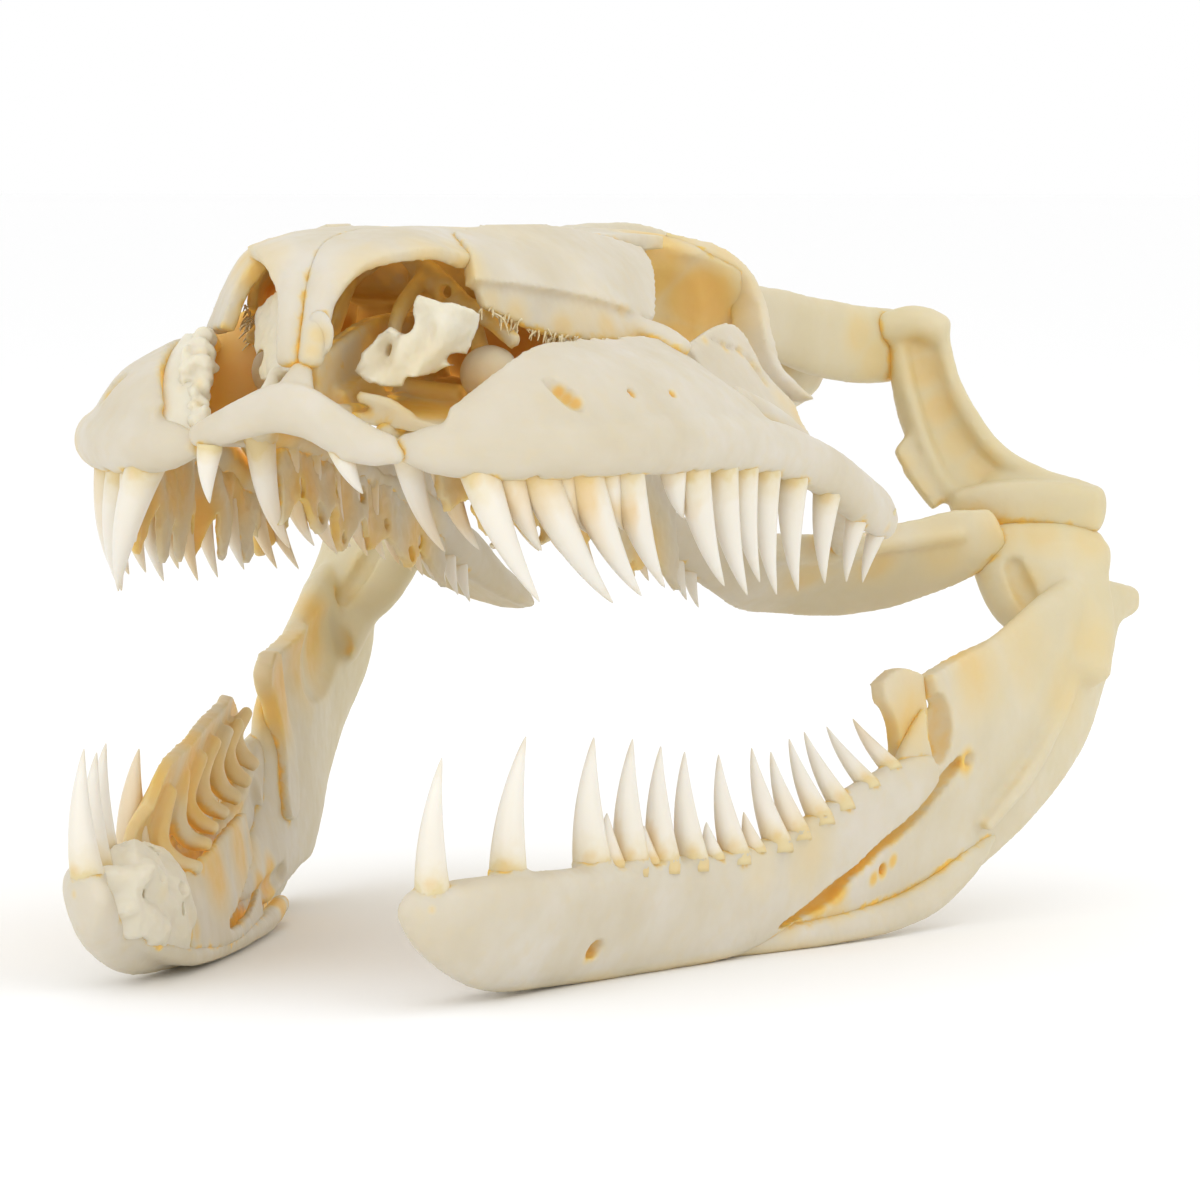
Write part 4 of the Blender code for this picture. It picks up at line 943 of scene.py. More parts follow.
# Crumbs on that edge. The spongy inside of the bone stands there as a clump of small chalky lumps,
# with pits eaten out of it.
CRUMB_ROWS = [[(-12.2, -8.8, 51.0), (-11.2, -11.2, 50.2), (-10.4, -12.6, 48.8), (-10.4, -13.4, 47.2),
               (-10.2, -14.4, 45.8), (-9.6, -15.8, 44.4)],
              [(-12.2, -11.4, 49.9), (-11.4, -13.0, 48.4), (-11.2, -14.0, 46.8)]]
CRUMB, EATEN = 0.7, 40  # mm, the middling radius of a lump, and the number of pits
chance = np.random.default_rng(3)
spots = [np.array(point) for row in CRUMB_ROWS for point in eased(row, 3)]
lumps = [ball(*(spot + chance.normal(0, 0.3, 3)), chance.uniform(0.7, 1.5, 3) * CRUMB)
         for spot in spots for _ in range(2)]
holes = [ball(*(spots[chance.integers(len(spots))] + chance.normal(0, CRUMB * 0.7, 3)),
              chance.uniform(0.2, 0.4, 3)) for _ in range(EATEN)]
crumbs = fused("maxilla_right_crumbs", lumps, holes, grain=0.16, rounds=1, rough=3)
BARED.add(crumbs.name)
set_in_place(crumbs, BONE, "maxilla_right")
mark_stain_and_shade(0.5, 0.8, (10.2, -14.2, 47.6), (10.8, -12.4, 49.6), (9.9, -15.2, 45.8), (11.6, -14.6, 47.4),
      sides=(-1,))

# Right maxilla's gum. Dried gum hangs over the rear teeth of the right maxilla like a torn ochre
# curtain, with a few holes in it, and only the teeth's tips show below it.
FOLDS = [(-22.6, -5, 37.0), (-23.1, -2, 35.4), (-23.4, 1, 36.6), (-23.8, 3.6, 32.6), (-24.2, 6, 36.0),
         (-24.4, 8.4, 31.8), (-24.8, 11, 35.4), (-25.0, 13, 31.6), (-25.4, 15.4, 35.6), (-25.6, 17.6, 31.4),
         (-26.0, 20.4, 34.8), (-26.4, 23.4, 31.2), (-26.6, 26.4, 34.6), (-26.8, 29.6, 30.6),
         (-27.2, 33, 33.6), (-27.4, 36, 30.8), (-27.4, 39.4, 33.4)]
chance = np.random.default_rng(31)
ruffled = [(x + chance.normal(0, 0.45), y, z) for x, y, z in FOLDS]
hung_from = [(x - 0.4, y, min(44, 46.2 - y * 0.24)) for x, y, _ in FOLDS]  # along the maxilla's bar
half_way = [(x + chance.normal(0.3, 0.35), y, z + 4) for x, y, z in ruffled]
drape = fused(
    "maxilla_right_gum",
    [sheet([hung_from, half_way, ruffled], 0.8, steps=4)],
    [ball(-24.2, 6.4, 35.4, (2.0, 0.5, 1.3)), ball(-26.0, 20.6, 34.4, (2.0, 0.7, 1.2)),
     ball(-26.8, 31.2, 33.0, (2.0, 0.6, 0.9))],
    rounds=2,
    grain=0.22,
    rough=4,
)
set_in_place(drape, BONE, "maxilla_right")
# Ochre on the gum: its own colour, deepened with painted shade where it hangs behind the teeth.
mark_stain_and_shade(0.5, 6, *((-x, y, z + 3) for x, y, z in FOLDS[::3]), sides=(-1,))

# Palatines. The front pair of inner tooth bars, joined by a strut to the maxilla and by a curved
# wing to the middle of the palate.
PALATINE = [(6.2, -11, 43.0, 8.6, 0.75, 0.06, 1.15), (7.2, -1, 41.8, 8.4, 0.85, 0.06, 1.15),
            (8.6, 12, 39.2, 7.0, 0.75, 0.08, 1.0), (9.2, 18, 37.8, 6.6, 0.7, 0.05, 0.95)]
palatine_row = varied([-11.2, -5.6, -0.2, 5.2, 10.6, 15.8], 4)
palatine = fused(
    "palatine_left_bone",
    [
        bar([(5.4, -13.4, 44.0, 0.8, 0.8), (6.2, -10, 43.8, 1.3, 1.3), (7.0, -3, 42.8, 1.5, 1.4),
             (8.0, 5, 41.4, 1.5, 1.5), (8.8, 13, 39.8, 1.3, 1.3), (9.3, 19, 38.4, 0.8, 0.9)]),
        bar([(7.6, 3, 42.2, 2.0, 1.2), (10.4, 6.5, 42.6, 2.0, 0.9), (12.6, 8.0, 42.2, 1.4, 0.7)]),
        sheet([[(6.6, -8, 43.6), (7.6, 0, 42.8), (8.8, 8, 41.4)],
               [(4.0, -7, 45.6), (4.0, 1, 46.0), (4.6, 9, 46.2)],
               [(1.0, -6, 46.4), (1.0, 2, 47.2), (1.0, 10, 47.6)]], 0.9),
        *collars(PALATINE, palatine_row),
    ],
    rounds=4,
)
mark_stain_and_shade(0.4, 5, (5, -4, 43.5), (5.5, 4, 43))
both_sides(palatine, "palatine_left")
for side, word in SIDES:
    row_of_fangs("palatine_" + word, PALATINE, palatine_row, side)

# Ectopterygoids. A bent strut from the cheek back to the pterygoid. Its front flange stands up thin
# behind the maxilla, and a jagged crack runs across it.
ectopterygoid = fused(
    "ectopterygoid_left_bone",
    [
        sheet([[(17.4, 20.0, 49.8), (18.1, 26.0, 51.5), (18.8, 29.0, 50.7), (20.0, 30.4, 47.6),
                (22.2, 32.4, 44.6)],
               [(18.6, 20.0, 48.0), (19.4, 25.4, 48.2), (20.4, 28.4, 47.0), (21.6, 29.4, 45.2),
                (23.0, 31.6, 43.4)],
               [(21.0, 18.6, 45.0), (22.0, 23.6, 44.0), (23.0, 27.4, 42.8), (23.6, 29.6, 42.0),
                (24.2, 32.4, 41.0)]], 1.2),
        bar([(22.6, 17.5, 45.2, 1.1, 1.8), (24.2, 25, 42.6, 1.2, 1.8), (24.8, 33, 38.6, 1.4, 1.5),
             (23.4, 41, 35.8, 1.5, 1.5), (21.0, 48, 33.8, 1.4, 1.7), (19.2, 53, 32.4, 1.0, 1.4)]),
    ],
    [bar([(18.4, 19.6, 49.6, 0.7, 0.28), (18.9, 22.6, 50.6, 0.7, 0.28), (19.4, 25.2, 49.8, 0.7, 0.28),
          (20.0, 27.4, 49.4, 0.7, 0.28), (20.5, 28.6, 48.0, 0.7, 0.28), (21.4, 29.2, 46.6, 0.7, 0.28)],
         sides=8, steps=2)],
    rounds=2,
    grain=0.22,
)
# Painted shade: ochre in the crack and where the flange meets the strut.
mark_stain_and_shade(0.4, 0.7, (18.6, 22.4, 50.4), (19.2, 25.0, 49.7), (19.8, 27.2, 49.3), (20.3, 28.4, 48.0),
      (21.2, 29.0, 46.8))
mark_stain_and_shade(0.34, 2.2, (22.4, 31.4, 43.8), (21.4, 30.2, 44.6))
both_sides(ectopterygoid, "ectopterygoid_left")

# Pterygoids. The rear pair of inner tooth bars. Each widens behind into a thin leaned blade that
# reaches out to the joint of the jaws.
PTERYGOID = [(9.7, 21, 37.0, 5.6, 0.6, 0.05, 0.9), (10.3, 31, 34.2, 5.2, 0.55, 0.03, 0.85),
             (10.6, 41, 31.2, 4.8, 0.5, 0.0, 0.75)]
pterygoid_row = varied([21.4, 24.4, 27.4, 30.4, 33.2, 36.0, 38.8], 5)
pterygoid = fused(
    "pterygoid_left_bone",
    [
        bar([(9.2, 17, 38.8, 0.9, 0.9), (9.6, 22, 37.8, 1.3, 1.4), (10.2, 30, 35.4, 1.5, 1.8),
             (10.8, 38, 32.6, 1.6, 2.1, 10), (12.0, 46, 30.6, 1.5, 3.2, 32),
             (14.4, 53.5, 29.4, 1.2, 5.6, 52), (18.0, 58.6, 29.2, 1.1, 5.4, 45),
             (22.4, 62.0, 30.3, 1.1, 4.1, 25), (26.4, 64.6, 31.8, 1.0, 3.2, 10),
             (28.8, 66.2, 33.0, 0.9, 2.0)]),
        bar([(13.0, 44, 31.8, 0.8, 0.8), (17.0, 52, 31.2, 0.9, 0.9), (21.8, 58.8, 32.0, 0.9, 0.9),
             (26.4, 63.6, 32.6, 0.8, 0.8)]),
        *collars(PTERYGOID, pterygoid_row),
    ],
)
mark_stain_and_shade(0.34, 3.5, (16, 53, 29.5), (20, 58.5, 30.4), (25, 62.6, 31.4))
both_sides(pterygoid, "pterygoid_left")
for side, word in SIDES:
    row_of_fangs("pterygoid_" + word, PTERYGOID, pterygoid_row, side)

# Palate's gum. Dried gum still hangs between the inner teeth on both sides, a thin ochre curtain
# from the tooth bars down, with holes torn along its ragged lower edge.
chance = np.random.default_rng(12)
HEM = [(6.8, -8, 36.4), (7.2, -4, 37.6), (7.6, 0, 34.6), (8.1, 4, 36.6), (8.6, 8, 33.4), (9.0, 12, 35.4),
       (9.3, 15, 32.2), (9.6, 19, 33.8), (10.0, 24, 30.6), (10.3, 28, 31.6), (10.6, 33, 29.0)]
for side, word in SIDES:
    lower = [(side * x + 1.1 + chance.normal(0, 0.35), y, z + chance.normal(0, 0.5)) for x, y, z in HEM]
    upper = [(side * x + 0.6, y, 42.4 - max(0, y - 6) * 0.11) for x, y, z in HEM]
    curtain = fused(
        "palatine_" + word + "_gum",
        [sheet([upper, lower], 0.9, steps=4)],
        [ball(*(spot + chance.normal(0, 0.4, 3) + (0, 0, 1)), (2.0, *chance.uniform(0.4, 1.0, 2)))
         for spot in eased(lower, 1)],
        rounds=2,
        grain=0.22,
        rough=4,
    )
    set_in_place(curtain, BONE, "palatine_" + word)
# Ochre on the curtains: the gum's own colour, deepened with painted shade between the inner teeth.
mark_stain_and_shade(0.5, 6, (7.4, -4, 38.5), (8.4, 6, 37), (9.2, 16, 34.6), (10, 26, 32.4))

# Compound bones. The deep rear half of each lower jaw, from the joint down to the floor, ridged
# outside, with a long fossa for the jaw muscles inside. It slots into the dentary across a gap.
JAW_GAP = [(24.8, 22.6, 2.2, 1.2, 0.25), (26.4, 26.6, 3.5, 1.8, 0.7), (27.4, 29.2, 4.6, 1.9, 0.95),
           (28.3, 31.6, 6.0, 1.7, 0.55), (29.4, 35.0, 7.9, 1.5, 0.6), (30.6, 40.2, 10.2, 1.3, 0.75),
           (31.7, 44.2, 12.8, 1.3, 0.75), (32.4, 46.6, 14.2, 1.3, 0.6)]
NERVE_HOLES = [((31.4, 43.4, 17.2), (2.0, 1.8, 3.0)), ((33.0, 48.0, 14.3), (1.1, 1.0, 0.6)),
               ((28.9, 36.3, 5.9), (0.6, 0.6, 0.5)), ((28.4, 35.0, 5.4), (0.6, 0.5, 0.4)),
               ((35.6, 59.9, 15.4), (0.4, 0.35, 0.35))]
compound = fused(
    "compound_left_bone",
    [
        bar([(21.4, 15, 3.6, 0.7, 1.4, 14), (23.8, 23, 4.0, 1.2, 2.4, 14), (26.6, 32, 5.0, 1.4, 3.9, 12),
             (28.8, 40, 8.0, 1.5, 6.1, 10), (30.4, 46, 11.2, 1.6, 9.0, 8), (32.2, 53, 14.3, 1.7, 9.3, 5),
             (34.0, 60, 17.8, 1.8, 8.6, 2), (35.1, 66, 21.2, 2.1, 7.6), (35.4, 71.6, 24.4, 2.0, 5.6),
             (36.0, 75.6, 25.9, 1.4, 2.4), (36.9, 79.8, 26.2, 0.9, 1.2)], box=2.4),
        sheet([[(30.6, 42.4, 21.8), (31.2, 48, 23.0), (32.0, 54, 24.0)],
               [(31.2, 44.4, 17.0), (32.0, 49, 17.4), (33.2, 54, 18)]], 1.9),
        bar([(31.6, 69.8, 32.4, 2.2, 5.6), (31.8, 69.4, 30.8, 2.8, 6.2), (32.8, 68.4, 28.0, 2.8, 5.8),
             (34.6, 67.4, 24.6, 2.8, 4.6), (35.4, 65, 20.6, 2.4, 4.2)], up=(0.93, 0.37, 0)),
        bar([(36.4, 68, 25.6, 0.6, 0.7), (36.6, 63, 19.0, 0.6, 0.8), (35.4, 56.5, 12.8, 0.6, 0.8),
             (33.4, 50.5, 8.4, 0.6, 0.7)]),
    ],
    [
        bar([(27.6, 47, 19.2, 1.0, 1.8), (30.2, 52, 20.2, 1.3, 3.4), (31.8, 58, 21.2, 1.4, 3.8),
             (32.4, 63, 23.0, 1.2, 2.6)]),
        bar(JAW_GAP),
        bar([(30.4, 65.6, 30.2, 0.8, 0.8), (31.6, 65.0, 28, 1.0, 1.0), (33.2, 64.2, 25.4, 0.7, 0.8)]),
        bar([(36.4, 61.0, 15.4, 0.6, 0.4), (35.4, 57.8, 11.4, 0.8, 0.6), (33.6, 52.4, 7.4, 0.8, 0.6),
             (31.2, 46.4, 4.4, 0.6, 0.4)]),
        bar([(20.0, 18, 2.6, 1.2, 0.8), (22.6, 27, 2.9, 1.5, 1.3), (25.8, 37, 3.6, 1.2, 1.0)]),
        *(ball(*place, radii) for place, radii in NERVE_HOLES),
    ],
)
# Painted shade: ochre in the nerve holes, the gap to the dentary, the fossa and the grooves of the jaw.
mark_stain_and_shade(0.62, 1.5, (31.0, 43.4, 16.0), (31.2, 43.6, 18.6), (32.6, 47.4, 14.2))
mark_stain_and_shade(0.85, 0.9, (31.2, 43.6, 17.6), (31.0, 43.9, 15.6), (28.7, 36.3, 5.8), (28.2, 35.0, 5.3),
      (29.0, 37.6, 6.6))
mark_stain_and_shade(1.0, 0.5, (35.3, 59.9, 15.4))
mark_stain_and_shade(0.42, 1.3, (30.0, 40.2, 10.0), (31.0, 43.4, 12.2), (29.2, 37.4, 8.8))
mark_stain_and_shade(0.66, 1.7, (26.2, 28.0, 3.8), (26.8, 30.2, 4.6))
mark_stain_and_shade(0.36, 2.4, (31.6, 65, 28.4), (32.4, 64.6, 26.4))
mark_stain_and_shade(0.32, 5, (36.2, 62, 19.4), (36.4, 66, 23))
mark_stain_and_shade(0.5, 6, (27.6, 41, 18.4), (29.5, 50, 21), (31, 58, 23))
mark_stain_and_shade(0.8, 3.0, (22.4, 25, 2.4), (24.4, 31, 3.0))
both_sides(compound, "compound_left")

# Angulars. A thin splint wrapped round the lower edge of each lower jaw, where it stands on the
# floor, closed against the compound bone with a fine seam.
angular = fused(
    "angular_left_bone",
    [
        bar([(21.2, 17, 1.2, 0.9, 1.2), (24.4, 25, 1.2, 1.2, 1.3), (27.2, 33, 1.4, 1.2, 1.4),
             (29.0, 39.5, 1.9, 1.2, 1.5), (30.6, 45.4, 3.2, 1.1, 1.6), (31.8, 50.4, 5.4, 0.9, 1.4),
             (32.6, 54, 7.4, 0.5, 0.8)]),
    ],
)
both_sides(angular, "angular_left")

# Dentaries. The toothed front half of each lower jaw: a bar as deep as it is wide, scooped out
# along its inner side, with a nerve hole near its tip.
DENTARY = [(14.6, -24.6, 9.3, -10.0, 0.05, 0.055, 1.3), (17.2, -17, 10.0, -11.0, 0.2, 0.06, 1.45),
           (19.2, -7, 9.8, -10.2, 0.1, -0.02, 1.5), (21.2, 2, 9.4, -9.4, 0.1, -0.04, 1.35),
           (23.0, 11, 8.9, -8.1, 0.1, -0.15, 1.2), (25.2, 20, 9.2, -7.5, 0.15, -0.34, 1.1),
           (27.2, 28, 11.3, -6.3, 0.2, -0.55, 1.0), (28.7, 33.5, 13.3, -4.9, 0.25, -0.9, 0.85),
           (29.8, 37.5, 14.9, -3.9, 0.3, -1.0, 0.8)]
lower_row = varied([-25.2, -16.7, -5.1, 0.2, 4.7, 9.0, 15.0, 20.9, 23.6, 26.9, 29.8, 33.5, 36.6], 9)
YOUNG_DENTARY = [(-2.6, 0.4, 0.1), (2.4, 0.3, 0.1), (12.0, 0.35, 0.1), (17.8, 0.4, 0.1)]
RIGHT_ROW = [(-25.2, 1.0, 0.0), (-21.0, 0.84, 0.0), (-17.6, 0.82, 0.0), (-8.0, 0.78, 0.0)]
INNER_SLIT = [(15.6, 2.0, 2.8, 1.6, 0.3), (17.0, 7.0, 3.3, 1.8, 0.8), (19.0, 12.0, 4.2, 1.8, 1.4),
              (20.8, 16.6, 5.4, 1.8, 1.6), (22.0, 19.6, 6.6, 1.6, 0.8)]
dentary = fused(
    "dentary_left_bone",
    [
        bar([(12.9, -26.4, 8.4, 0.9, 1.3, 10), (14.4, -25.0, 7.4, 1.8, 2.8, 16),
             (15.8, -21.6, 6.4, 2.0, 4.1, 22), (17.0, -15.8, 5.4, 2.0, 5.1, 25),
             (18.0, -8, 5.0, 2.0, 5.2, 25), (19.3, 0, 4.8, 2.0, 5.2, 22), (21.2, 9, 4.6, 1.9, 4.9, 18),
             (23.4, 18, 4.9, 1.7, 4.8, 14), (25.7, 26, 6.9, 1.5, 4.2, 10), (28.1, 33, 10.0, 1.4, 3.6, 6),
             (30.2, 39, 12.7, 1.2, 2.5, 2), (31.2, 42, 13.9, 0.9, 1.5)], box=2.6),
        bar([(13.4, -21, 4.6, 0.8, 0.9), (13.6, -14, 2.4, 0.9, 0.9), (14.1, -7.6, 1.4, 0.9, 0.9),
             (15.6, 1, 1.1, 0.9, 0.9), (17.8, 11, 1.1, 0.9, 0.9), (20.5, 21, 1.2, 0.9, 1.0),
             (23.4, 30, 1.6, 0.8, 0.9)]),
        *collars(DENTARY, lower_row),
    ],
    [
        bar([(15.0, -13, 6.2, 1.2, 1.4, 25), (16.0, -6, 6.2, 1.9, 2.8, 24), (17.2, 2, 6.2, 2.0, 3.3, 22),
             (19.0, 10, 6.0, 2.0, 3.3, 18), (21.3, 18, 6.4, 2.0, 3.4, 14), (23.4, 26, 8.0, 1.9, 3.2, 10),
             (25.8, 33, 10.8, 1.7, 2.4, 6)]),
        bar(INNER_SLIT),
        bar(JAW_GAP),
        ball(20.0, -4.8, 3.0, (2.0, 1.2, 0.75), (0, 0, -10)),
        ball(15.4, -27.0, 8.2, (0.5, 0.5, 0.4)),
        *pits(DENTARY, lower_row),
    ],
    rounds=4,
)
# Painted shade: ochre in the hollow on the inner side, the nerve hole at the tip and along the scooped
# inner side.
mark_stain_and_shade(0.85, 1.0, (19.2, -4.6, 3.0), (18.8, -5.2, 2.9))
mark_stain_and_shade(0.35, 0.5, (15.2, -26.7, 8.1))
mark_stain_and_shade(0.5, 5, (16.4, 0, 7.5), (18.5, 10, 8), (21, 18, 8.5), (23.5, 25, 9))
both_sides(dentary, "dentary_left")
row_of_fangs("dentary_left", DENTARY, lower_row + YOUNG_DENTARY)
row_of_fangs("dentary_right", DENTARY, RIGHT_ROW, -1)

# Dried gum of the right lower jaw. It stands as a thin sheet on the tooth edge and has drawn the
# rear teeth down inwards, so that they lie on its inner face as a row of ribs.
RIBS = [[(-17.5, -4.0, 14.4), (-17.6, -6.0, 10.4), (-16.4, -5.4, 8.6), (-14.6, -5.0, 8.2)],
        [(-18.7, 1.0, 15.4), (-18.4, -1.0, 11.8), (-17.6, -0.6, 10.0), (-16.1, 0.0, 9.6)],
        [(-19.2, 5.5, 16.4), (-19.7, 3.5, 13.0), (-19.0, 3.8, 11.2), (-17.6, 4.5, 10.4)],
        [(-20.1, 10.0, 17.2), (-20.6, 8.0, 14.4), (-20.2, 8.2, 12.2), (-18.8, 9.0, 11.2)],
        [(-21.3, 15.0, 17.7), (-21.6, 13.0, 15.0), (-21.2, 13.2, 13.0), (-20.0, 14.0, 12.0)],
        [(-22.6, 20.0, 17.9), (-22.9, 18.0, 15.8), (-22.5, 18.2, 14.0), (-21.4, 19.0, 12.9)],
        [(-24.2, 25.0, 18.4), (-24.5, 23.0, 16.6), (-24.1, 23.2, 15.0), (-23.0, 24.0, 13.9)]]
gum = fused(
    "dentary_right_gum",
    [
        sheet([[(-16.6, -9.8, 13.6), (-17.1, -6.0, 16.6), (-18.4, 1.0, 17.9), (-20.6, 9.0, 19.0),
                (-22.9, 17.0, 19.7), (-25.6, 24.0, 19.8), (-28.8, 32, 17.6)],
               [(-18.0, -10.6, 11.5), (-18.6, -6.0, 12.6), (-19.8, 1.0, 13.2), (-21.9, 9.0, 13.8),
                (-24.1, 17.0, 14.4), (-26.6, 24.0, 15.2), (-29.3, 33, 15.8)],
               [(-18.2, -10.6, 9.0), (-19.0, -6.0, 9.0), (-20.3, 1.0, 9.0), (-22.4, 9.0, 8.6),
                (-24.6, 17.0, 9.0), (-27.0, 24.0, 10.5), (-29.8, 34, 14.0)]], 1.1),
        *(bar([(*rib[0], 0.5, 0.7), (*rib[1], 0.75, 0.95), (*rib[2], 0.8, 1.0), (*rib[3], 0.6, 0.8)],
              up=(0, 1, 0)) for rib in RIBS),
    ],
    rounds=3,
    grain=0.24,
)
for rib in RIBS:
    x, y, z = rib[2]  # painted shade: the ochre in the groove behind each rib
    mark_stain_and_shade(0.75, 1.8, (-x, y + 2.2, z - 0.6), sides=(-1,))
    mark_stain_and_shade(0.5, 1.8, (-x, y + 2.2, z + 1.6), sides=(-1,))
# The ochre along the gum is partly its own colour and partly painted light that comes through the thin
# sheet.
mark_stain_and_shade(0.46, 8, (18, -6, 13), (19.4, 2, 14.5), (21.8, 10, 15.5), (24.4, 18, 16), (27, 26, 16.5),
      sides=(-1,))
set_in_place(gum, BONE, "dentary_right")

# Broken crust of the right lower jaw. Where the two jaws were tied at the chin, a chalky rind of
# bone and sinew has torn and stands crumpled on the inner side, with small holes in it.
RIND = [[(-16.4, -23.6, 9.2), (-15.6, -20, 10.2), (-16.0, -16, 10.6), (-16.4, -12, 10.2),
         (-16.8, -9, 9.4), (-17.4, -7, 8.4)],
        [(-14.6, -24.6, 8.4), (-13.0, -21.6, 9.2), (-13.8, -17.4, 10.0), (-14.4, -13.4, 9.4),
         (-14.6, -9.8, 8.4), (-16.2, -7.4, 7.4)],
        [(-14.4, -24.4, 6.6), (-12.4, -21.0, 6.8), (-12.9, -16.6, 6.8), (-12.9, -12.6, 6.2),
         (-13.6, -8.8, 5.4), (-15.8, -6.4, 5.2)],
        [(-14.4, -22.6, 4.4), (-13.0, -19.6, 4.0), (-13.2, -15.8, 3.2), (-13.6, -11.8, 2.6),
         (-14.2, -8.8, 2.2), (-15.6, -6.6, 2.4)]]
CRUMPLE, TORN = 0.34, 26  # mm that the rind is crumpled by, and the number of holes
chance = np.random.default_rng(17)
rind = woven(RIND, 2, 3)
rind += chance.normal(0, CRUMPLE, rind.shape)
crust = fused(
    "dentary_right_crust",
    [sheet(rind, 1.2, steps=3)],
    [ball(*(rind[i, j] + chance.normal(0, 0.3, 3)), chance.uniform(0.2, 0.75, 3))
     for i, j in zip(chance.integers(0, len(rind), TORN), chance.integers(0, rind.shape[1], TORN))],
    rounds=1,
    grain=0.18,
    rough=3,
)
BARED.add(crust.name)
set_in_place(crust, BONE, "dentary_right")
mark_stain_and_shade(0.4, 1.3, (12.8, -16.5, 7.6), (13.2, -10.5, 4.6), (13.0, -8.5, 7.0), (13.6, -7.6, 3.4),
      sides=(-1,))

# Splenials. A thin plate laid over the lower inner side of each dentary, with a slit through both
# for the nerve of the jaw, painted ochre inside as shade.
splenial = fused(
    "splenial_left_bone",
    [
        sheet([[(14.8, -9, 7.6), (16.6, 1, 9.2), (18.9, 10, 10.4), (20.6, 16, 10.8)],
               [(14.0, -9, 4.8), (15.8, 1, 5.6), (18.2, 10, 6.2), (20.2, 17, 6.4)],
               [(13.7, -9, 1.6), (15.0, 1, 1.2), (17.3, 10, 1.2), (19.8, 18, 1.6)]], 0.9),
    ],
    [bar(INNER_SLIT)],
)
mark_stain_and_shade(0.24, 4, (15.4, 1, 7), (17.8, 9, 7.6))
mark_stain_and_shade(0.95, 1.7, (17.6, 6.6, 3.3), (19.6, 11.6, 4.2), (21.6, 16.4, 5.4), (20.4, 14.0, 4.8))
both_sides(splenial, "splenial_left")

# Coronoids. A small bone on the inner side of each lower jaw, with a rounded lobe that stands up
# where the jaw muscles were tied.
coronoid = fused(
    "coronoid_left_bone",
    [
        sheet([[(28.2, 37.0, 21.6), (28.9, 39.6, 22.6), (29.8, 42.6, 22.0)],
               [(28.4, 37.0, 20.0), (29.1, 39.8, 20.0), (29.9, 43.2, 19.8)],
               [(28.7, 39.4, 17.4), (29.2, 41.4, 17.4), (29.9, 43.8, 17.2)],
               [(28.4, 40.2, 13.4), (29.0, 42.2, 13.4), (29.6, 45.0, 13.4)],
               [(27.4, 38.6, 9.6), (28.0, 41.2, 9.6), (28.8, 44.0, 9.6)],
               [(26.9, 38.2, 8.0), (27.4, 40.0, 7.6), (28.0, 42.0, 7.8)]], 1.7),
    ],
)
both_sides(coronoid, "coronoid_left")
bpy.data.objects.remove(BLANK)

# Painted shade and stains. How shut in each point is among the finished bones is painted on it as
# ochre shade; marked places add fat stains and more painted shade, the lower edges that stand on the
# floor get a painted contact shadow, thin hollows a painted glow, and the thick rear of the jaws
# stays greasy yellow. All are kept on their points for the material.
REACH = 12.0  # mm: how far off a neighbouring wall still shades a hollow
FADE = 0.5  # how much less a wall at that distance counts than a touching one
LIFT = 0.12  # mm off the bone that its hollowness is measured
SAMPLE, SAMPLE_SMALL = 6, 2  # one point in so many is measured, and more of a small piece
SMALL = 2000  # points of a small piece
BLENDED, EVENED = 4, 0.1  # measured points that a point is blended from, and mm added to each distance
OCHRE, OCHRE_TEETH, OCHRE_BARED = 0.85, 0.55, 0.35  # how far bone, teeth and chalky bone take the painted ochre shade
GLOW, GLOW_FROM, GLOW_OVER = 0.3, 0.6, 0.3  # painted glow for light let through, and from which hollowness, over what
MARK_EDGE = 1.35  # reaches of a marked place from its middle to where it ends
FOOT_SHADOW, FOOT = 0.34, 1.6  # painted contact shadow on the lower edges that stand on the floor, and how many mm up from it
GREASE, GREASE_FROM, GREASE_OVER = 0.5, 36, 34  # of the skull's rear, from where, over how many mm
CHALK = 0.6  # how chalky broken bone is


def rays(count):
    """Directions over the half ball about +Z, closer together near its pole, as light counts there."""
    out = []
    for i in range(count):
        height = math.sqrt((i + 0.5) / count)
        flat = math.sqrt(1 - height * height)
        turn = i * math.pi * (3 - math.sqrt(5))  # the golden angle
        out.append(Vector((flat * math.cos(turn), flat * math.sin(turn), height)))
    return out


RAYS = rays(14)
corners, walls = [], []
for bone in bones:
    start = len(corners)
    corners.extend(v.co[:] for v in bone.data.vertices)
    walls.extend(tuple(start + i for i in p.vertices) for p in bone.data.polygons)
shell = BVHTree.FromPolygons(corners, walls)


def hollowness(point, normal):
    """How shut in a point is, from 0 in the open to 1 in a closed hollow."""
    turned = normal.to_track_quat("Z", "Y").to_matrix()
    start = point + normal * LIFT * MM
    total = 0.0
    for ray in RAYS:
        distance = shell.ray_cast(start, turned @ ray, REACH * MM)[3]
        if distance is not None:
            total += 1 - FADE * distance / (REACH * MM)
    return total / len(RAYS)


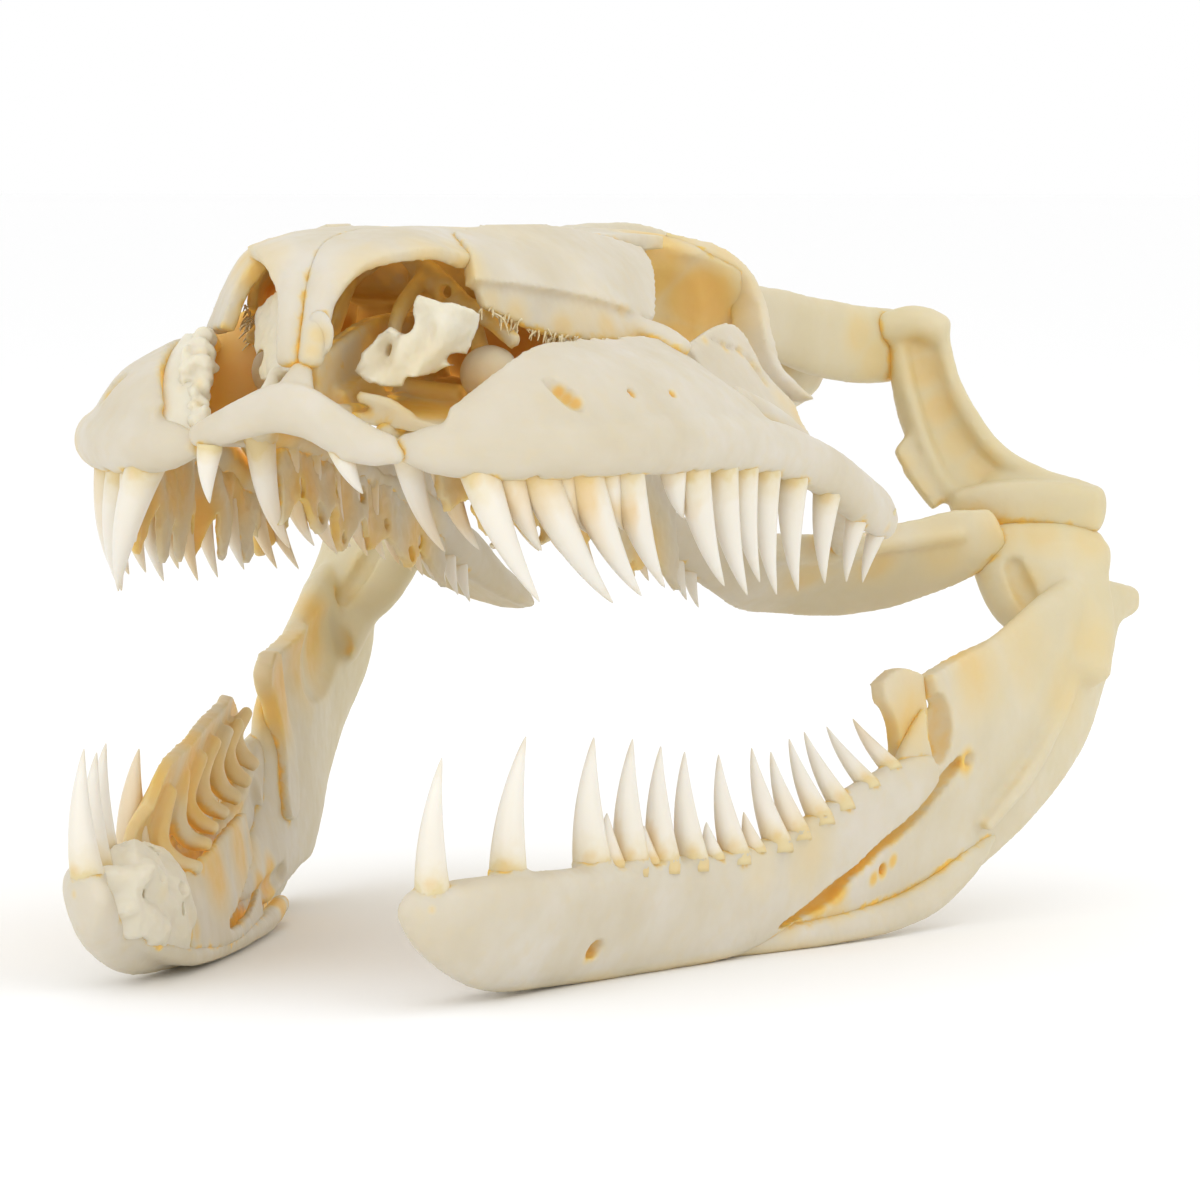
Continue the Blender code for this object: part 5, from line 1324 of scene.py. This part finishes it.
for bone in bones:
    verts = bone.data.vertices
    chosen = range(0, len(verts), SAMPLE if len(verts) > SMALL else SAMPLE_SMALL)
    tree = KDTree(len(chosen))
    known = []
    for number, index in enumerate(chosen):
        tree.insert(verts[index].co, number)
        known.append(hollowness(verts[index].co, verts[index].normal))
    tree.balance()
    values = []
    for vert in verts:
        near = tree.find_n(vert.co, BLENDED)
        weights = [1 / (distance + EVENED * MM) for _, _, distance in near]
        values.append(sum(w * known[i] for w, (_, i, _) in zip(weights, near)) / sum(weights))
    places = np.array([v.co for v in verts]) / MM + (0, MIDDLE, 0)
    bared, teeth = bone.name in BARED, bone.name.endswith("teeth")
    glow = GLOW * np.clip((np.array(values) - GLOW_FROM) / GLOW_OVER, 0, 1) * (not (bared or teeth))
    values = np.array(values) * (OCHRE_BARED if bared else OCHRE_TEETH if teeth else OCHRE)
    for x, y, z, reach, depth in stain_and_shade_marks:
        away = np.linalg.norm(places - (x, y, z), axis=1) / reach
        values = np.maximum(values, depth * np.clip(MARK_EDGE - away, 0, 1))
    values = np.maximum(values, FOOT_SHADOW * np.clip(1 - places[:, 2] / FOOT, 0, 1))
    rear = np.clip((places[:, 1] - GREASE_FROM) / GREASE_OVER, 0, 1)
    chalk = np.full(len(verts), CHALK if bared else 0.0)
    for name, shares in (("hollow", values), ("grease", rear * GREASE), ("chalk", chalk),
                         ("painted_glow", glow)):
        bone.data.attributes.new(name, "FLOAT", "POINT").data.foreach_set("value", shares)

# Floor. A table top of plain white board that runs past every edge of the picture. It is matt,
# so that the skull throws a soft shadow on it and no reflection.
FLOOR_SIZE = 40  # m
bpy.ops.object.select_all(action="DESELECT")
bpy.ops.mesh.primitive_plane_add(size=FLOOR_SIZE, location=(0, 0, 0))
floor = bpy.context.object
floor.name = "floor"
board = bpy.data.materials.new("white_board")
board.use_nodes = True
surface = board.node_tree.nodes["Principled BSDF"].inputs
surface["Base Color"].default_value = linear("#FEFEFE")
surface["Roughness"].default_value = 0.9
surface["Specular IOR Level"].default_value = 0.1
floor.data.materials.append(board)

# Light. Three square softboxes: a weak one overhead, the strongest in front and one from the
# skull's left. All face the skull, and a white room fills the shadows.
LIT = Vector((0, 0, 0.03))  # m, the middle of the skull
SOFTBOXES = (  # name, place and size in m, power in W
    ("overhead_softbox", (0.1, 0.0, 0.9), 1.1, 0.8),
    ("front_softbox", (0.0, -1.1, 0.45), 1.0, 2.2),
    ("side_softbox", (0.9, -0.5, 0.5), 0.8, 1.1),
)
for name, place, size, power in SOFTBOXES:
    lamp = bpy.data.lights.new(name, "AREA")
    lamp.size = size
    lamp.energy = power
    holder = bpy.data.objects.new(name, lamp)
    bpy.context.scene.collection.objects.link(holder)
    holder.location = place
    holder.rotation_euler = (LIT - Vector(place)).to_track_quat("-Z", "Y").to_euler()
world = bpy.data.worlds.new("white_room")
world.use_nodes = True
world.node_tree.nodes["Background"].inputs["Color"].default_value = linear("#FFFFFF")
world.node_tree.nodes["Background"].inputs["Strength"].default_value = 1.0
bpy.context.scene.world = world
bpy.context.scene.view_settings.view_transform = "Standard"

# Camera. A long lens 0.6 m off, a little above the table and to the skull's left of straight
# ahead, as the photograph was taken.
TARGET = Vector((0, 0.01612, 0.0273))  # m, the point in the middle of the picture
AZIMUTH, ELEVATION, DISTANCE = math.radians(22), math.radians(3.5), 0.6
away = Vector((math.sin(AZIMUTH) * math.cos(ELEVATION), -math.cos(AZIMUTH) * math.cos(ELEVATION),
               math.sin(ELEVATION)))
lens = bpy.data.cameras.new("camera")
lens.lens = 208.8  # mm, so that the skull fills the picture as in the photograph
lens.sensor_width = 36
lens.clip_start = 0.01
lens.clip_end = 100
camera = bpy.data.objects.new("camera", lens)
bpy.context.scene.collection.objects.link(camera)
camera.location = TARGET + away * DISTANCE
camera.rotation_euler = away.to_track_quat("Z", "Y").to_euler()
bpy.context.scene.camera = camera
